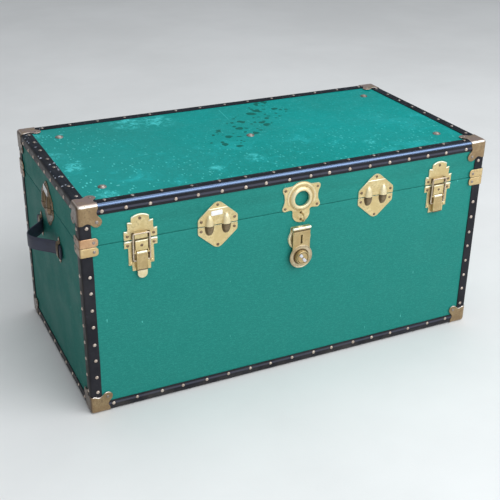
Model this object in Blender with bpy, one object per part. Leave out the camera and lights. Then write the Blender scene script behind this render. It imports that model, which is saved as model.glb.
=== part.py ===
"""Footlocker: a plywood trunk with fibre edge bindings and brass hardware.

Units are metres, +Z is up, +X runs along the long side and -Y is the front.
The origin is on the ground under the middle of the whole object's box.
Front plates are drawn with x to the right, z above the parting line and the
outside towards -Y, and are then turned onto the face they are riveted to.
"""
import math

import bmesh
import bpy
from mathutils import Matrix, Vector

# ---------------------------------------------------------------- dimensions
CASE_LENGTH = 0.912
CASE_DEPTH = 0.466
CASE_HEIGHT = 0.449
PANEL = 0.0065
GAP = 0.0003
BINDING_THICK = 0.0015
BINDING_WIDTH = 0.0215
SHEET = 0.0012
PROUD = GAP + BINDING_THICK + GAP + SHEET
PARTING_Z = 0.370
PARTING_GAP = 0.0004

SUNK = 0.0008
EDGE_GAP = 0.0006

LATCH_X = 0.340
DOWEL_X = 0.181
REAR_HINGE_X = 0.300

LEVER_PIVOT_Z = -0.0265
LEVER_PIVOT_Y = -0.0050
LEVER_HALF_WIDTH = 0.0113
BAIL_PIVOT_Z = -0.0430
BAIL_TOP_Z = 0.0139
BAIL_TOP_Y = -0.0069
BAIL_WIRE = 0.0016
BAIL_HALF_WIDTH = 0.0168

LOCK_X = 0.0035
HASP_AXIS_Z = -0.0400
HASP_AXIS_Y = -0.0080
STAPLE_Z = -0.0150
RING_Z = 0.0240
RING_HOLE = 0.0165
DRUM_RADIUS = 0.0150
FLAP_REACH = RING_Z - HASP_AXIS_Z

HANDLE_Z = -0.0740
LOOP_SPACING = 0.141
STRAP_WIDTH = 0.029
STRAP_THICK = 0.0035
STRAP_REST = 0.0030
STRAP_BOW = 0.044
STRAP_TAIL = 0.022
LOOP_HALF_DEPTH = 0.009

HINGE_PIN_OUT = 0.0067
HINGE_PIN = 0.0020
HINGE_BARREL = 0.0034

DRUM_DEPTH = 0.0103
FRONT_REACH = DRUM_DEPTH - HASP_AXIS_Y
REAR_REACH = HINGE_PIN_OUT + HINGE_BARREL
CASE_Y = (FRONT_REACH - REAR_REACH) / 2.0

BOTTOM_Z = PROUD
TOP_Z = PROUD + CASE_HEIGHT
HALF_X = CASE_LENGTH / 2.0
HALF_Y = CASE_DEPTH / 2.0
FRONT_Y = CASE_Y - HALF_Y
REAR_Y = CASE_Y + HALF_Y
FACE_TURN = {"front": 0.0, "left": -90.0, "right": 90.0, "rear": 180.0}


# ---------------------------------------------------------------- materials
def make_material(name, colour, roughness, metallic):
    material = bpy.data.materials.new(name)
    material.use_nodes = True
    shader = material.node_tree.nodes["Principled BSDF"]
    shader.inputs["Base Color"].default_value = (*colour, 1.0)
    shader.inputs["Roughness"].default_value = roughness
    shader.inputs["Metallic"].default_value = metallic
    return material


def make_materials():
    return {
        "green_fibre": make_material("green_fibre", (0.025, 0.26, 0.21), 0.55, 0.0),
        "black_fibre": make_material("black_fibre", (0.013, 0.013, 0.020), 0.40, 0.0),
        "brass": make_material("brass", (0.52, 0.42, 0.20), 0.38, 1.0),
        "bronze": make_material("bronze", (0.32, 0.23, 0.12), 0.45, 1.0),
        "wire": make_material("wire", (0.36, 0.29, 0.22), 0.35, 1.0),
        "leather": make_material("leather", (0.038, 0.042, 0.065), 0.50, 0.0),
    }


# ---------------------------------------------------------------- mesh tools
def clear_scene():
    for item in list(bpy.data.objects):
        bpy.data.objects.remove(item, do_unlink=True)


def mesh_from_bmesh(name, shape):
    bmesh.ops.recalc_face_normals(shape, faces=shape.faces)
    mesh = bpy.data.meshes.new(name)
    shape.to_mesh(mesh)
    shape.free()
    return mesh


def box_mesh(low, high):
    """A box between two opposite corners."""
    shape = bmesh.new()
    bmesh.ops.create_cube(shape, size=1.0)
    low = Vector(low)
    high = Vector(high)
    centre = (low + high) / 2.0
    size = high - low
    for vertex in shape.verts:
        vertex.co = Vector(centre[i] + vertex.co[i] * size[i] for i in range(3))
    return mesh_from_bmesh("box", shape)


def prism_mesh(outline, axis, start, end):
    """Extrude a closed outline from start to end along X, Y or Z.

    The outline's points are (y, z) for X, (x, z) for Y and (x, y) for Z.
    """
    place = {
        "X": lambda point, along: (along, point[0], point[1]),
        "Y": lambda point, along: (point[0], along, point[1]),
        "Z": lambda point, along: (point[0], point[1], along),
    }[axis]
    shape = bmesh.new()
    near = [shape.verts.new(place(point, start)) for point in outline]
    far = [shape.verts.new(place(point, end)) for point in outline]
    shape.faces.new(near)
    shape.faces.new(list(reversed(far)))
    count = len(outline)
    for i in range(count):
        j = (i + 1) % count
        shape.faces.new((near[i], far[i], far[j], near[j]))
    return mesh_from_bmesh("prism", shape)


def arc(centre, radius, first, last, steps):
    """Points on an arc, with angles in degrees from the first axis."""
    points = []
    for i in range(steps + 1):
        angle = math.radians(first + (last - first) * i / steps)
        points.append((centre[0] + radius * math.cos(angle), centre[1] + radius * math.sin(angle)))
    return points


def circle(centre, radius, steps):
    return arc(centre, radius, 0.0, 360.0, steps)[:-1]


def mirrored(outline):
    """Complete a right-hand half outline, listed top to bottom, about x = 0."""
    return outline + [(-x, z) for x, z in reversed(outline) if x > 1e-9]


def turned_mesh(profile, centre, steps):
    """Turn a closed (radius, out) profile about a line along Y through (x, z)."""
    shape = bmesh.new()
    rings = []
    for radius, out in profile:
        if radius < 1e-9:
            rings.append([shape.verts.new((centre[0], -out, centre[1]))])
            continue
        ring = []
        for x, z in circle(centre, radius, steps):
            ring.append(shape.verts.new((x, -out, z)))
        rings.append(ring)
    for first, second in zip(rings, rings[1:] + rings[:1]):
        for i in range(steps):
            j = (i + 1) % steps
            corners = [first[i % len(first)], first[j % len(first)]]
            corners += [second[j % len(second)], second[i % len(second)]]
            corners = list(dict.fromkeys(corners))
            if len(corners) > 2:
                shape.faces.new(corners)
    return mesh_from_bmesh("turned", shape)


def tube_mesh(path, radius, sides):
    """A round wire along a path of points, with flat closed ends."""
    shape = bmesh.new()
    rings = []
    for i, point in enumerate(path):
        before = path[max(i - 1, 0)]
        after = path[min(i + 1, len(path) - 1)]
        first = (point - before).normalized() if i > 0 else (after - point).normalized()
        second = (after - point).normalized() if i < len(path) - 1 else first
        along = (first + second).normalized()
        side = along.cross(Vector((0.0, 1.0, 0.0)))
        if side.length < 1e-6:
            side = Vector((1.0, 0.0, 0.0))
        side.normalize()
        up = side.cross(along).normalized()
        stretch = 1.0 / max(along.dot(first), 0.5)
        ring = []
        for j in range(sides):
            angle = 2.0 * math.pi * (j + 0.5) / sides
            offset = side * math.cos(angle) * stretch + up * math.sin(angle)
            ring.append(shape.verts.new(point + offset * radius))
        rings.append(ring)
    for first, second in zip(rings, rings[1:]):
        for j in range(sides):
            k = (j + 1) % sides
            shape.faces.new((first[j], first[k], second[k], second[j]))
    shape.faces.new(list(reversed(rings[0])))
    shape.faces.new(rings[-1])
    return mesh_from_bmesh("tube", shape)


def rounded_path(corners, radius, steps):
    """Points through the corners of a path, with each inner corner rounded."""
    points = [Vector(corners[0])]
    for before, corner, after in zip(corners, corners[1:], corners[2:]):
        corner = Vector(corner)
        start = corner + (Vector(before) - corner).normalized() * radius
        end = corner + (Vector(after) - corner).normalized() * radius
        for i in range(steps + 1):
            t = i / steps
            points.append(start * (1 - t) ** 2 + corner * 2 * t * (1 - t) + end * t ** 2)
    points.append(Vector(corners[-1]))
    return points


def combine(base, tool, operation):
    """Join or cut one mesh with another, and return the new mesh."""
    holder = bpy.data.objects.new("holder", base)
    other = bpy.data.objects.new("other", tool)
    bpy.context.scene.collection.objects.link(holder)
    bpy.context.scene.collection.objects.link(other)
    modifier = holder.modifiers.new("combine", "BOOLEAN")
    modifier.operation = operation
    modifier.solver = "EXACT"
    modifier.object = other
    bpy.context.view_layer.update()
    evaluated = holder.evaluated_get(bpy.context.evaluated_depsgraph_get())
    result = bpy.data.meshes.new_from_object(evaluated)
    bpy.data.objects.remove(holder, do_unlink=True)
    bpy.data.objects.remove(other, do_unlink=True)
    return result


def union(*meshes):
    result = meshes[0]
    for mesh in meshes[1:]:
        result = combine(result, mesh, "UNION")
    return result


def cut(mesh, *tools):
    for tool in tools:
        mesh = combine(mesh, tool, "DIFFERENCE")
    return mesh


def plate_mesh(outline):
    """A flat sheet-metal plate, lying on a face."""
    return prism_mesh(outline, "Y", -GAP - SHEET, -GAP)


def add_part(name, mesh, material, location=(0.0, 0.0, 0.0), turn=0.0):
    """Link one finished piece, turned about Z by a number of degrees."""
    mesh.name = name
    mesh.materials.clear()
    mesh.materials.append(material)
    mesh.shade_smooth()
    mesh.set_sharp_from_angle(angle=math.radians(30.0))
    part = bpy.data.objects.new(name, mesh)
    part.location = location
    part.rotation_euler = (0.0, 0.0, math.radians(turn))
    bpy.context.scene.collection.objects.link(part)
    return part


# ---------------------------------------------------------------- the panels
def make_panels(material):
    inner_x = HALF_X - PANEL - GAP
    inner_y = HALF_Y - PANEL - GAP
    body_top = PARTING_Z - PARTING_GAP
    lid_bottom = PARTING_Z + PARTING_GAP
    lid_top = TOP_Z - PANEL - GAP

    def panel(name, low, high):
        return add_part(name, box_mesh(low, high), material, (0.0, CASE_Y, 0.0))

    panel("body_front_panel", (-HALF_X, -HALF_Y, BOTTOM_Z), (HALF_X, PANEL - HALF_Y, body_top))
    panel("body_back_panel", (-HALF_X, HALF_Y - PANEL, BOTTOM_Z), (HALF_X, HALF_Y, body_top))
    panel("body_left_panel", (-HALF_X, -inner_y, BOTTOM_Z), (PANEL - HALF_X, inner_y, body_top))
    panel("body_right_panel", (HALF_X - PANEL, -inner_y, BOTTOM_Z), (HALF_X, inner_y, body_top))
    panel("base_panel", (-inner_x, -inner_y, BOTTOM_Z), (inner_x, inner_y, BOTTOM_Z + PANEL))
    panel("lid_top_panel", (-HALF_X, -HALF_Y, TOP_Z - PANEL), (HALF_X, HALF_Y, TOP_Z))
    panel("lid_back_panel", (-HALF_X, HALF_Y - PANEL, lid_bottom), (HALF_X, HALF_Y, lid_top))
    panel("lid_left_panel", (-HALF_X, -inner_y, lid_bottom), (PANEL - HALF_X, inner_y, lid_top))
    panel("lid_right_panel", (HALF_X - PANEL, -inner_y, lid_bottom), (HALF_X, inner_y, lid_top))

    lid_front = box_mesh((-HALF_X, -HALF_Y, lid_bottom), (HALF_X, PANEL - HALF_Y, lid_top))
    lock_hole = prism_mesh(
        circle((LOCK_X, PARTING_Z + RING_Z), RING_HOLE + 0.001, 32),
        "Y", -HALF_Y - 0.01, PANEL - HALF_Y + 0.01,
    )
    add_part("lid_front_panel", cut(lid_front, lock_hole), material, (0.0, CASE_Y, 0.0))


# -------------------------------------------------------------- the bindings
def make_binding(name, low_z, high_z, closed_at_top, material):
    """An angle strip round one end of the case, with four corner posts."""
    out = GAP + BINDING_THICK
    far = 0.05
    edge = high_z if closed_at_top else low_z
    inward = -1.0 if closed_at_top else 1.0
    outer_edge = edge - inward * out
    inner_edge = edge - inward * GAP
    open_edge = low_z if closed_at_top else high_z
    flange_edge = edge + inward * BINDING_WIDTH

    def span(half_x, half_y, z_a, z_b):
        low = (-half_x, -half_y, min(z_a, z_b))
        high = (half_x, half_y, max(z_a, z_b))
        return box_mesh(low, high)

    shell = span(HALF_X + out, HALF_Y + out, outer_edge, open_edge)
    inside = span(HALF_X + GAP, HALF_Y + GAP, inner_edge, open_edge - inward * -far)
    window_x = HALF_X - BINDING_WIDTH
    window_y = HALF_Y - BINDING_WIDTH
    beyond = open_edge + inward * far
    long_window = span(window_x, HALF_Y + far, flange_edge, beyond)
    short_window = span(HALF_X + far, window_y, flange_edge, beyond)
    face_window = span(window_x, window_y, edge - inward * far, edge + inward * far)
    mesh = cut(shell, inside, long_window, short_window, face_window)
    add_part(name, mesh, material, (0.0, CASE_Y, 0.0))


# ---------------------------------------------------- corner caps and clamps
CAP_ARM = 0.0365
CAP_WAIST = 0.0345
CAP_WAIST_AT = 0.0130
CAP_EAR_AT = 0.0325
CAP_EAR_RADIUS = 0.0105


def cap_outline():
    """One face of a corner cap, from its corner, with a round rivet ear."""
    ear = arc((CAP_EAR_AT, CAP_EAR_AT), CAP_EAR_RADIUS, -40.0, 130.0, 8)
    lower = [(-PROUD, -PROUD), (CAP_ARM, -PROUD), (CAP_ARM, 0.0060), (CAP_WAIST, CAP_WAIST_AT)]
    upper = [(CAP_WAIST_AT, CAP_WAIST), (0.0060, CAP_ARM), (-PROUD, CAP_ARM)]
    return lower + ear + upper


def make_corner_cap(name, side_x, side_y, side_z, material):
    outer = PROUD
    inner = PROUD - SHEET
    outline = cap_outline()
    mesh = union(
        prism_mesh(outline, "X", -outer, -inner),
        prism_mesh(outline, "Y", -outer, -inner),
        prism_mesh(outline, "Z", -outer, -inner),
    )
    flip = Matrix.Diagonal((-side_x, -side_y, -side_z, 1.0))
    mesh.transform(flip)
    if side_x * side_y * side_z > 0:
        mesh.flip_normals()
    corner_z = TOP_Z if side_z > 0 else BOTTOM_Z
    location = (side_x * HALF_X, CASE_Y + side_y * HALF_Y, corner_z)
    add_part(name, mesh, material, location)


CLAMP_WIDTH = 0.033
CLAMP_HEIGHT = 0.018


def make_edge_clamp(name, side_x, side_y, low_z, high_z, material):
    """An angle plate riveted round a vertical edge beside the parting line."""
    outer = PROUD
    inner = PROUD - SHEET
    outline = [
        (-outer, -outer), (CLAMP_WIDTH, -outer), (CLAMP_WIDTH, -inner),
        (-inner, -inner), (-inner, CLAMP_WIDTH), (-outer, CLAMP_WIDTH),
    ]
    outline = [(-side_x * x, -side_y * y) for x, y in outline]
    mesh = prism_mesh(outline, "Z", low_z, high_z)
    location = (side_x * HALF_X, CASE_Y + side_y * HALF_Y, 0.0)
    add_part(name, mesh, material, location)


def make_corners(material):
    sides_x = {"left": -1, "right": 1}
    sides_y = {"front": -1, "rear": 1}
    for x_name, side_x in sides_x.items():
        for y_name, side_y in sides_y.items():
            place = y_name + "_" + x_name
            make_corner_cap("lid_cap_" + place, side_x, side_y, 1, material)
            make_corner_cap("body_cap_" + place, side_x, side_y, -1, material)
            low = PARTING_Z + PARTING_GAP
            high = PARTING_Z - PARTING_GAP
            make_edge_clamp("lid_clamp_" + place, side_x, side_y, low, low + CLAMP_HEIGHT, material)
            make_edge_clamp("body_clamp_" + place, side_x, side_y, high - CLAMP_HEIGHT, high, material)


# --------------------------------------------------------------- the latches
LATCH_HALF_WIDTH = 0.0333
LATCH_STEP_X = 0.0258
LIP_HALF_WIDTH = 0.013
LIP_TOP_Z = 0.0130
LIP_OUT = 0.0044
BLOCK_OUT = 0.0068
LEVER_PIN = 0.0012
LEVER_LENGTH = 0.0365
TAB_RADIUS = 0.0100
TAB_Z = -0.0445
BAIL_BEND = 0.0035


def latch_catch_mesh():
    """The stepped plate on the lid, with the raised lip that the bail pulls on."""
    half = [(0.0, 0.0522)] + arc((0.0, 0.0207), 0.0315, 84.0, 54.7, 4)
    half += [(0.0182, 0.0370), (LATCH_STEP_X, 0.0370), (LATCH_STEP_X, 0.0195)]
    half += [(LATCH_HALF_WIDTH, 0.0195), (LATCH_HALF_WIDTH, EDGE_GAP)]
    plate = plate_mesh(mirrored(half))
    lip = [
        (-SUNK, SUNK), (-LIP_OUT, SUNK), (-LIP_OUT, LIP_TOP_Z - 0.0025),
        (-LIP_OUT + 0.0004, LIP_TOP_Z - 0.0008), (-LIP_OUT + 0.0016, LIP_TOP_Z), (-SUNK, LIP_TOP_Z),
    ]
    return union(plate, prism_mesh(lip, "X", -LIP_HALF_WIDTH, LIP_HALF_WIDTH))


def latch_base_mesh():
    """The stepped plate on the body, with the block, the two lugs and their pin."""
    half = [
        (LATCH_HALF_WIDTH, -EDGE_GAP), (LATCH_HALF_WIDTH, -0.0160), (LATCH_STEP_X, -0.0160),
        (LATCH_STEP_X, -0.0530), (0.0188, -0.0530), (0.0188, -0.0655),
    ]
    plate = plate_mesh(mirrored(half))
    block = prism_mesh(
        [(-SUNK, -0.0010), (0.0016 - BLOCK_OUT, -0.0010), (-BLOCK_OUT, -0.0030),
         (-BLOCK_OUT, -0.0205), (0.0023 - BLOCK_OUT, -0.0225), (-SUNK, -0.0225)],
        "X", -0.0128, 0.0128,
    )
    lug = [(-SUNK, -0.0200), (-0.0062, -0.0200)]
    lug += arc((LEVER_PIVOT_Y, LEVER_PIVOT_Z), 0.0024, 120.0, 250.0, 6)
    lug += [(-SUNK, -0.0300)]
    left_lug = prism_mesh(lug, "X", -0.0138, -0.0119)
    right_lug = prism_mesh(lug, "X", 0.0119, 0.0138)
    pin = prism_mesh(circle((LEVER_PIVOT_Y, LEVER_PIVOT_Z), LEVER_PIN, 16), "X", -0.0130, 0.0130)
    return union(plate, block, left_lug, right_lug, pin)


def latch_lever_mesh(has_tab):
    """The draw lever, about its pivot. The right one has lost its thumb tab."""
    top = arc((0.0, 0.0), 0.0029, 110.0, 0.0, 6)
    body = top + [(0.0027, -LEVER_LENGTH), (-0.0020, -LEVER_LENGTH)]
    body += [(-0.0033, 0.0025 - LEVER_LENGTH), (-0.0033, -0.0060)]
    bar = prism_mesh(body, "X", -LEVER_HALF_WIDTH, LEVER_HALF_WIDTH)
    tab_half = [(TAB_RADIUS, 0.0015 - LEVER_LENGTH)] + arc((0.0, TAB_Z), TAB_RADIUS, 0.0, -84.0, 6)
    tab_half += [(0.0, TAB_Z - TAB_RADIUS)]
    tab = prism_mesh(mirrored(tab_half), "Y", -0.0008, 0.0010)
    bore = prism_mesh(circle((0.0, 0.0), LEVER_PIN + 0.0002, 16), "X", -0.02, 0.02)
    wire_y = 0.0
    wire_z = BAIL_PIVOT_Z - LEVER_PIVOT_Z
    hole = circle((wire_y, wire_z), BAIL_WIRE + 0.00035, 12)
    left_hole = prism_mesh(hole, "X", -LEVER_HALF_WIDTH - 0.01, -LEVER_HALF_WIDTH + 0.003)
    right_hole = prism_mesh(hole, "X", LEVER_HALF_WIDTH - 0.003, LEVER_HALF_WIDTH + 0.01)
    return cut(union(bar, tab) if has_tab else bar, bore, left_hole, right_hole)


def latch_bail_mesh():
    """The wire bail, about its pivot in the lever."""
    end_x = LEVER_HALF_WIDTH - 0.002
    top_y = BAIL_TOP_Y - LEVER_PIVOT_Y
    top_z = BAIL_TOP_Z - BAIL_PIVOT_Z
    corners = [
        (-end_x, 0.0, 0.0), (-BAIL_HALF_WIDTH, 0.0, 0.0), (-BAIL_HALF_WIDTH, top_y, top_z),
        (BAIL_HALF_WIDTH, top_y, top_z), (BAIL_HALF_WIDTH, 0.0, 0.0), (end_x, 0.0, 0.0),
    ]
    return tube_mesh(rounded_path(corners, BAIL_BEND, 4), BAIL_WIRE, 10)


def make_latches(brass, wire):
    for side, x in (("left", -LATCH_X), ("right", LATCH_X)):
        anchor = Vector((x, FRONT_Y, PARTING_Z))
        add_part(side + "_latch_catch", latch_catch_mesh(), brass, anchor)
        add_part(side + "_latch_base", latch_base_mesh(), brass, anchor)
        pivot = anchor + Vector((0.0, LEVER_PIVOT_Y, LEVER_PIVOT_Z))
        add_part(side + "_latch_lever", latch_lever_mesh(side == "left"), brass, pivot)
        wire_pivot = anchor + Vector((0.0, LEVER_PIVOT_Y, BAIL_PIVOT_Z))
        add_part(side + "_latch_bail", latch_bail_mesh(), wire, wire_pivot)


# ---------------------------------------------------------------- the dowels
DOWEL_HALF_WIDTH = 0.0425
DOWEL_SIDE_Z = 0.0160
DOWEL_TIP_Z = 0.0485
DOWEL_TIP_RADIUS = 0.0145
DOWEL_CORNER = 0.0080
DOWEL_SLOPE = 48.7
DOWEL_BOSS_X = 0.018
BOSS_WIDE = 0.0090
BOSS_NARROW = 0.0042
PIN_OUT = 0.0050
PIN_RADIUS = 0.0026
SOCKET_RADIUS = 0.0032


def dowel_plate_outline(sign):
    """Half of a six-sided plate, with its corners and point rounded, above or below."""
    corner_z = DOWEL_SIDE_Z - DOWEL_CORNER * math.tan(math.radians(DOWEL_SLOPE / 2.0))
    corner = arc((DOWEL_HALF_WIDTH - DOWEL_CORNER, corner_z), DOWEL_CORNER, 0.0, DOWEL_SLOPE, 4)
    tip = arc((0.0, DOWEL_TIP_Z - DOWEL_TIP_RADIUS), DOWEL_TIP_RADIUS, DOWEL_SLOPE, 90.0, 4)
    half = [(DOWEL_HALF_WIDTH, EDGE_GAP)] + corner + tip[:-1] + [(0.0, DOWEL_TIP_Z)]
    outline = mirrored(list(reversed(half)))
    return [(x, sign * z) for x, z in outline]


def half_cone_mesh(x, start, end, wide, narrow):
    """A tapered boss standing out of a plate, along Z."""
    shape = bmesh.new()
    rings = []
    for z, radius in ((start, wide), (end, narrow)):
        ring = arc((x, -GAP - 0.0004), radius, 180.0, 360.0, 10)
        rings.append([shape.verts.new((px, py, z)) for px, py in ring])
    count = len(rings[0])
    for i in range(count):
        j = (i + 1) % count
        shape.faces.new((rings[0][i], rings[0][j], rings[1][j], rings[1][i]))
    shape.faces.new(rings[0])
    shape.faces.new(list(reversed(rings[1])))
    return mesh_from_bmesh("boss", shape)


def dowel_pin_mesh(x):
    steps = 14
    shape = bmesh.new()
    rings = []
    for z, radius in ((0.0030, PIN_RADIUS), (-0.0060, PIN_RADIUS), (-0.0090, PIN_RADIUS * 0.6)):
        rings.append([shape.verts.new((px, py, z)) for px, py in circle((x, -PIN_OUT), radius, steps)])
    for first, second in zip(rings, rings[1:]):
        for i in range(steps):
            j = (i + 1) % steps
            shape.faces.new((first[i], first[j], second[j], second[i]))
    shape.faces.new(rings[0])
    shape.faces.new(list(reversed(rings[-1])))
    return mesh_from_bmesh("pin", shape)


def dowel_lid_mesh():
    """The upper plate, whose two bosses hold the pins."""
    plate = plate_mesh(dowel_plate_outline(1.0))
    pieces = [plate]
    for x in (-DOWEL_BOSS_X, DOWEL_BOSS_X):
        pieces.append(half_cone_mesh(x, EDGE_GAP, 0.022, BOSS_WIDE, BOSS_NARROW))
        pieces.append(dowel_pin_mesh(x))
    return union(*pieces)


def dowel_body_mesh():
    """The lower plate, whose two bosses have the sockets."""
    plate = plate_mesh(dowel_plate_outline(-1.0))
    bosses = []
    sockets = []
    for x in (-DOWEL_BOSS_X, DOWEL_BOSS_X):
        bosses.append(half_cone_mesh(x, -EDGE_GAP, -0.020, BOSS_WIDE, BOSS_NARROW))
        sockets.append(prism_mesh(circle((x, -PIN_OUT), SOCKET_RADIUS, 14), "Z", -0.0100, 0.0100))
    return cut(union(plate, *bosses), *sockets)


def make_dowels(brass):
    places = {
        "front_left": ((-DOWEL_X, FRONT_Y, PARTING_Z), "front"),
        "front_right": ((DOWEL_X, FRONT_Y, PARTING_Z), "front"),
        "left_end": ((-HALF_X, CASE_Y, PARTING_Z), "left"),
        "right_end": ((HALF_X, CASE_Y, PARTING_Z), "right"),
    }
    for name, (location, face) in places.items():
        add_part("dowel_lid_" + name, dowel_lid_mesh(), brass, location, FACE_TURN[face])
        add_part("dowel_body_" + name, dowel_body_mesh(), brass, location, FACE_TURN[face])


# ------------------------------------------------------------------ the lock
PLATE_RADIUS = 0.0290
EAR_X = 0.0365
EAR_RADIUS = 0.0068
WAIST_X = 0.0382
CROWN_TOP = 0.0605
CROWN_RADIUS = 0.0320
RING_OUT = 0.0058
STAPLE_OUT = 0.0165
STAPLE_HALF_HEIGHT = 0.0075
STAPLE_WIRE = 0.0012
BARREL_RADIUS = 0.0030
BARREL_PIN = 0.0013
PLUG_HOLE = 0.0062
PLUG_RADIUS = 0.0057
FLAP_RADIUS = 0.0255
FLAP_HALF_WIDTH = 0.0198
FLAP_HALF_THICK = 0.0008
SLOT_HALF_LENGTH = 0.0079
SLOT_RADIUS = 0.0020


def lock_plate_mesh():
    """The ring plate on the lid, with its padlock staple."""
    half = [(0.0, CROWN_TOP)] + arc((0.0, CROWN_TOP - CROWN_RADIUS), CROWN_RADIUS, 80.0, 50.0, 4)
    half += arc((EAR_X, 0.0457), EAR_RADIUS, 100.0, -25.0, 5)
    half += [(WAIST_X + 0.0013, RING_Z + 0.0115), (WAIST_X, RING_Z + 0.0040)]
    half += [(WAIST_X + 0.0004, RING_Z - 0.0050)]
    half += arc((EAR_X, 0.0060), EAR_RADIUS, 25.0, -110.0, 5)
    half += [(0.0200, 0.0010)]
    half += arc((0.0, -0.0090), 0.0200, 15.0, -80.0, 6) + [(0.0, -0.0290)]
    plate = plate_mesh(mirrored(half))
    ring_profile = [
        (RING_HOLE, 0.0007), (RING_HOLE, RING_OUT - 0.0010), (0.0200, RING_OUT),
        (0.0235, RING_OUT - 0.0010), (0.0250, 0.0007),
    ]
    ring = turned_mesh(ring_profile, (0.0, RING_Z), 32)
    hole = prism_mesh(circle((0.0, RING_Z), RING_HOLE, 32), "Y", -0.01, 0.01)
    staple_top = STAPLE_Z + STAPLE_HALF_HEIGHT
    staple_foot = STAPLE_Z - STAPLE_HALF_HEIGHT
    staple_corners = [
        (0.0, -SUNK, staple_top), (0.0, -STAPLE_OUT, staple_top),
        (0.0, -STAPLE_OUT, staple_foot), (0.0, -SUNK, staple_foot),
    ]
    staple = tube_mesh(rounded_path(staple_corners, 0.0070, 5), STAPLE_WIRE, 8)
    return union(cut(plate, hole), ring, staple)


def hasp_barrel_mesh(x_low, x_high):
    return prism_mesh(circle((HASP_AXIS_Y, HASP_AXIS_Z), BARREL_RADIUS, 16), "X", x_low, x_high)


HASP_KNUCKLE = 0.0075
HASP_HALF_WIDTH = 0.0205


def hasp_plate_mesh():
    """The pear-shaped plate on the body, with outer knuckles and the pin."""
    centre_z = HASP_AXIS_Z - 0.0240
    half = [(HASP_HALF_WIDTH, HASP_AXIS_Z + BARREL_RADIUS)]
    half += arc((0.0, centre_z), PLATE_RADIUS, 35.0, -84.0, 9) + [(0.0, centre_z - PLATE_RADIUS)]
    plate = plate_mesh(mirrored(half))
    pieces = [plate]
    web_top = HASP_AXIS_Z + BARREL_RADIUS
    web_foot = HASP_AXIS_Z + BARREL_RADIUS / 2.0
    web = [
        (-SUNK, web_top), (HASP_AXIS_Y, web_top - 0.0001),
        (HASP_AXIS_Y, web_foot), (-SUNK, web_foot),
    ]
    for low, high in ((-HASP_HALF_WIDTH, -HASP_KNUCKLE), (HASP_KNUCKLE, HASP_HALF_WIDTH)):
        pieces.append(prism_mesh(web, "X", low, high))
        pieces.append(hasp_barrel_mesh(low, high))
    pin = prism_mesh(circle((HASP_AXIS_Y, HASP_AXIS_Z), BARREL_PIN, 16), "X", -0.0100, 0.0100)
    pieces.append(pin)
    return union(*pieces)


def hasp_flap_mesh():
    """The swinging hasp flap, about its hinge line, hanging down."""
    knuckle = HASP_KNUCKLE - GAP
    half = [(knuckle, 0.0), (knuckle, -0.0040), (FLAP_HALF_WIDTH, -0.0040), (FLAP_HALF_WIDTH, -0.0465)]
    half += arc((0.0, -FLAP_REACH), FLAP_RADIUS, 30.0, -84.0, 9) + [(0.0, -FLAP_REACH - FLAP_RADIUS)]
    plate = prism_mesh(mirrored(half), "Y", -FLAP_HALF_THICK, FLAP_HALF_THICK)
    barrel = prism_mesh(circle((0.0, 0.0), BARREL_RADIUS, 16), "X", -knuckle, knuckle)
    bore = prism_mesh(circle((0.0, 0.0), BARREL_PIN + 0.0002, 16), "X", -0.03, 0.03)
    slot_z = HASP_AXIS_Z - STAPLE_Z
    slot = arc((0.0, slot_z + SLOT_HALF_LENGTH), SLOT_RADIUS, 0.0, 180.0, 6)
    slot += arc((0.0, slot_z - SLOT_HALF_LENGTH), SLOT_RADIUS, 180.0, 360.0, 6)
    staple_slot = prism_mesh(slot, "Y", -0.01, 0.01)
    plug_hole = prism_mesh(circle((0.0, -FLAP_REACH), PLUG_HOLE, 20), "Y", -0.01, 0.01)
    return cut(union(plate, barrel), bore, staple_slot, plug_hole)


def lock_drum_mesh():
    """The round lock case behind the flap, open where the plug goes in."""
    back = FLAP_HALF_THICK + GAP
    roof = DRUM_DEPTH - 0.0018
    profile = [
        (PLUG_HOLE, back), (DRUM_RADIUS, back), (DRUM_RADIUS, DRUM_DEPTH - 0.0008),
        (DRUM_RADIUS - 0.0010, DRUM_DEPTH), (0.0018, DRUM_DEPTH), (0.0018, roof), (PLUG_HOLE, roof),
    ]
    return turned_mesh(profile, (0.0, 0.0), 32)


def lock_plug_mesh():
    """The key plug, which turns inside the drum."""
    profile = [(0.0, 0.0080), (PLUG_RADIUS, 0.0080), (PLUG_RADIUS, -0.0022), (0.0, -0.0022)]
    plug = turned_mesh(profile, (0.0, 0.0), 24)
    keyway = box_mesh((-0.0006, 0.0, -0.0035), (0.0006, 0.01, 0.0035))
    return cut(plug, keyway)


def make_lock(brass):
    anchor = Vector((LOCK_X, FRONT_Y, PARTING_Z))
    add_part("lock_plate", lock_plate_mesh(), brass, anchor)
    add_part("hasp_plate", hasp_plate_mesh(), brass, anchor)
    axis = anchor + Vector((0.0, HASP_AXIS_Y, HASP_AXIS_Z))
    add_part("hasp_flap", hasp_flap_mesh(), brass, axis)
    boss = axis + Vector((0.0, 0.0, -FLAP_REACH))
    add_part("lock_drum", lock_drum_mesh(), brass, boss)
    add_part("lock_plug", lock_plug_mesh(), brass, boss)


# --------------------------------------------------------------- the handles
def strap_out(along):
    """How far the strap's middle stands off the end panel, along its run."""
    rest = STRAP_REST
    reach = LOOP_SPACING / 2.0 - LOOP_HALF_DEPTH
    if abs(along) >= reach:
        return rest
    wave = 0.5 * (1.0 + math.cos(math.pi * along / reach))
    return rest + STRAP_BOW * wave ** 0.75


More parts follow.
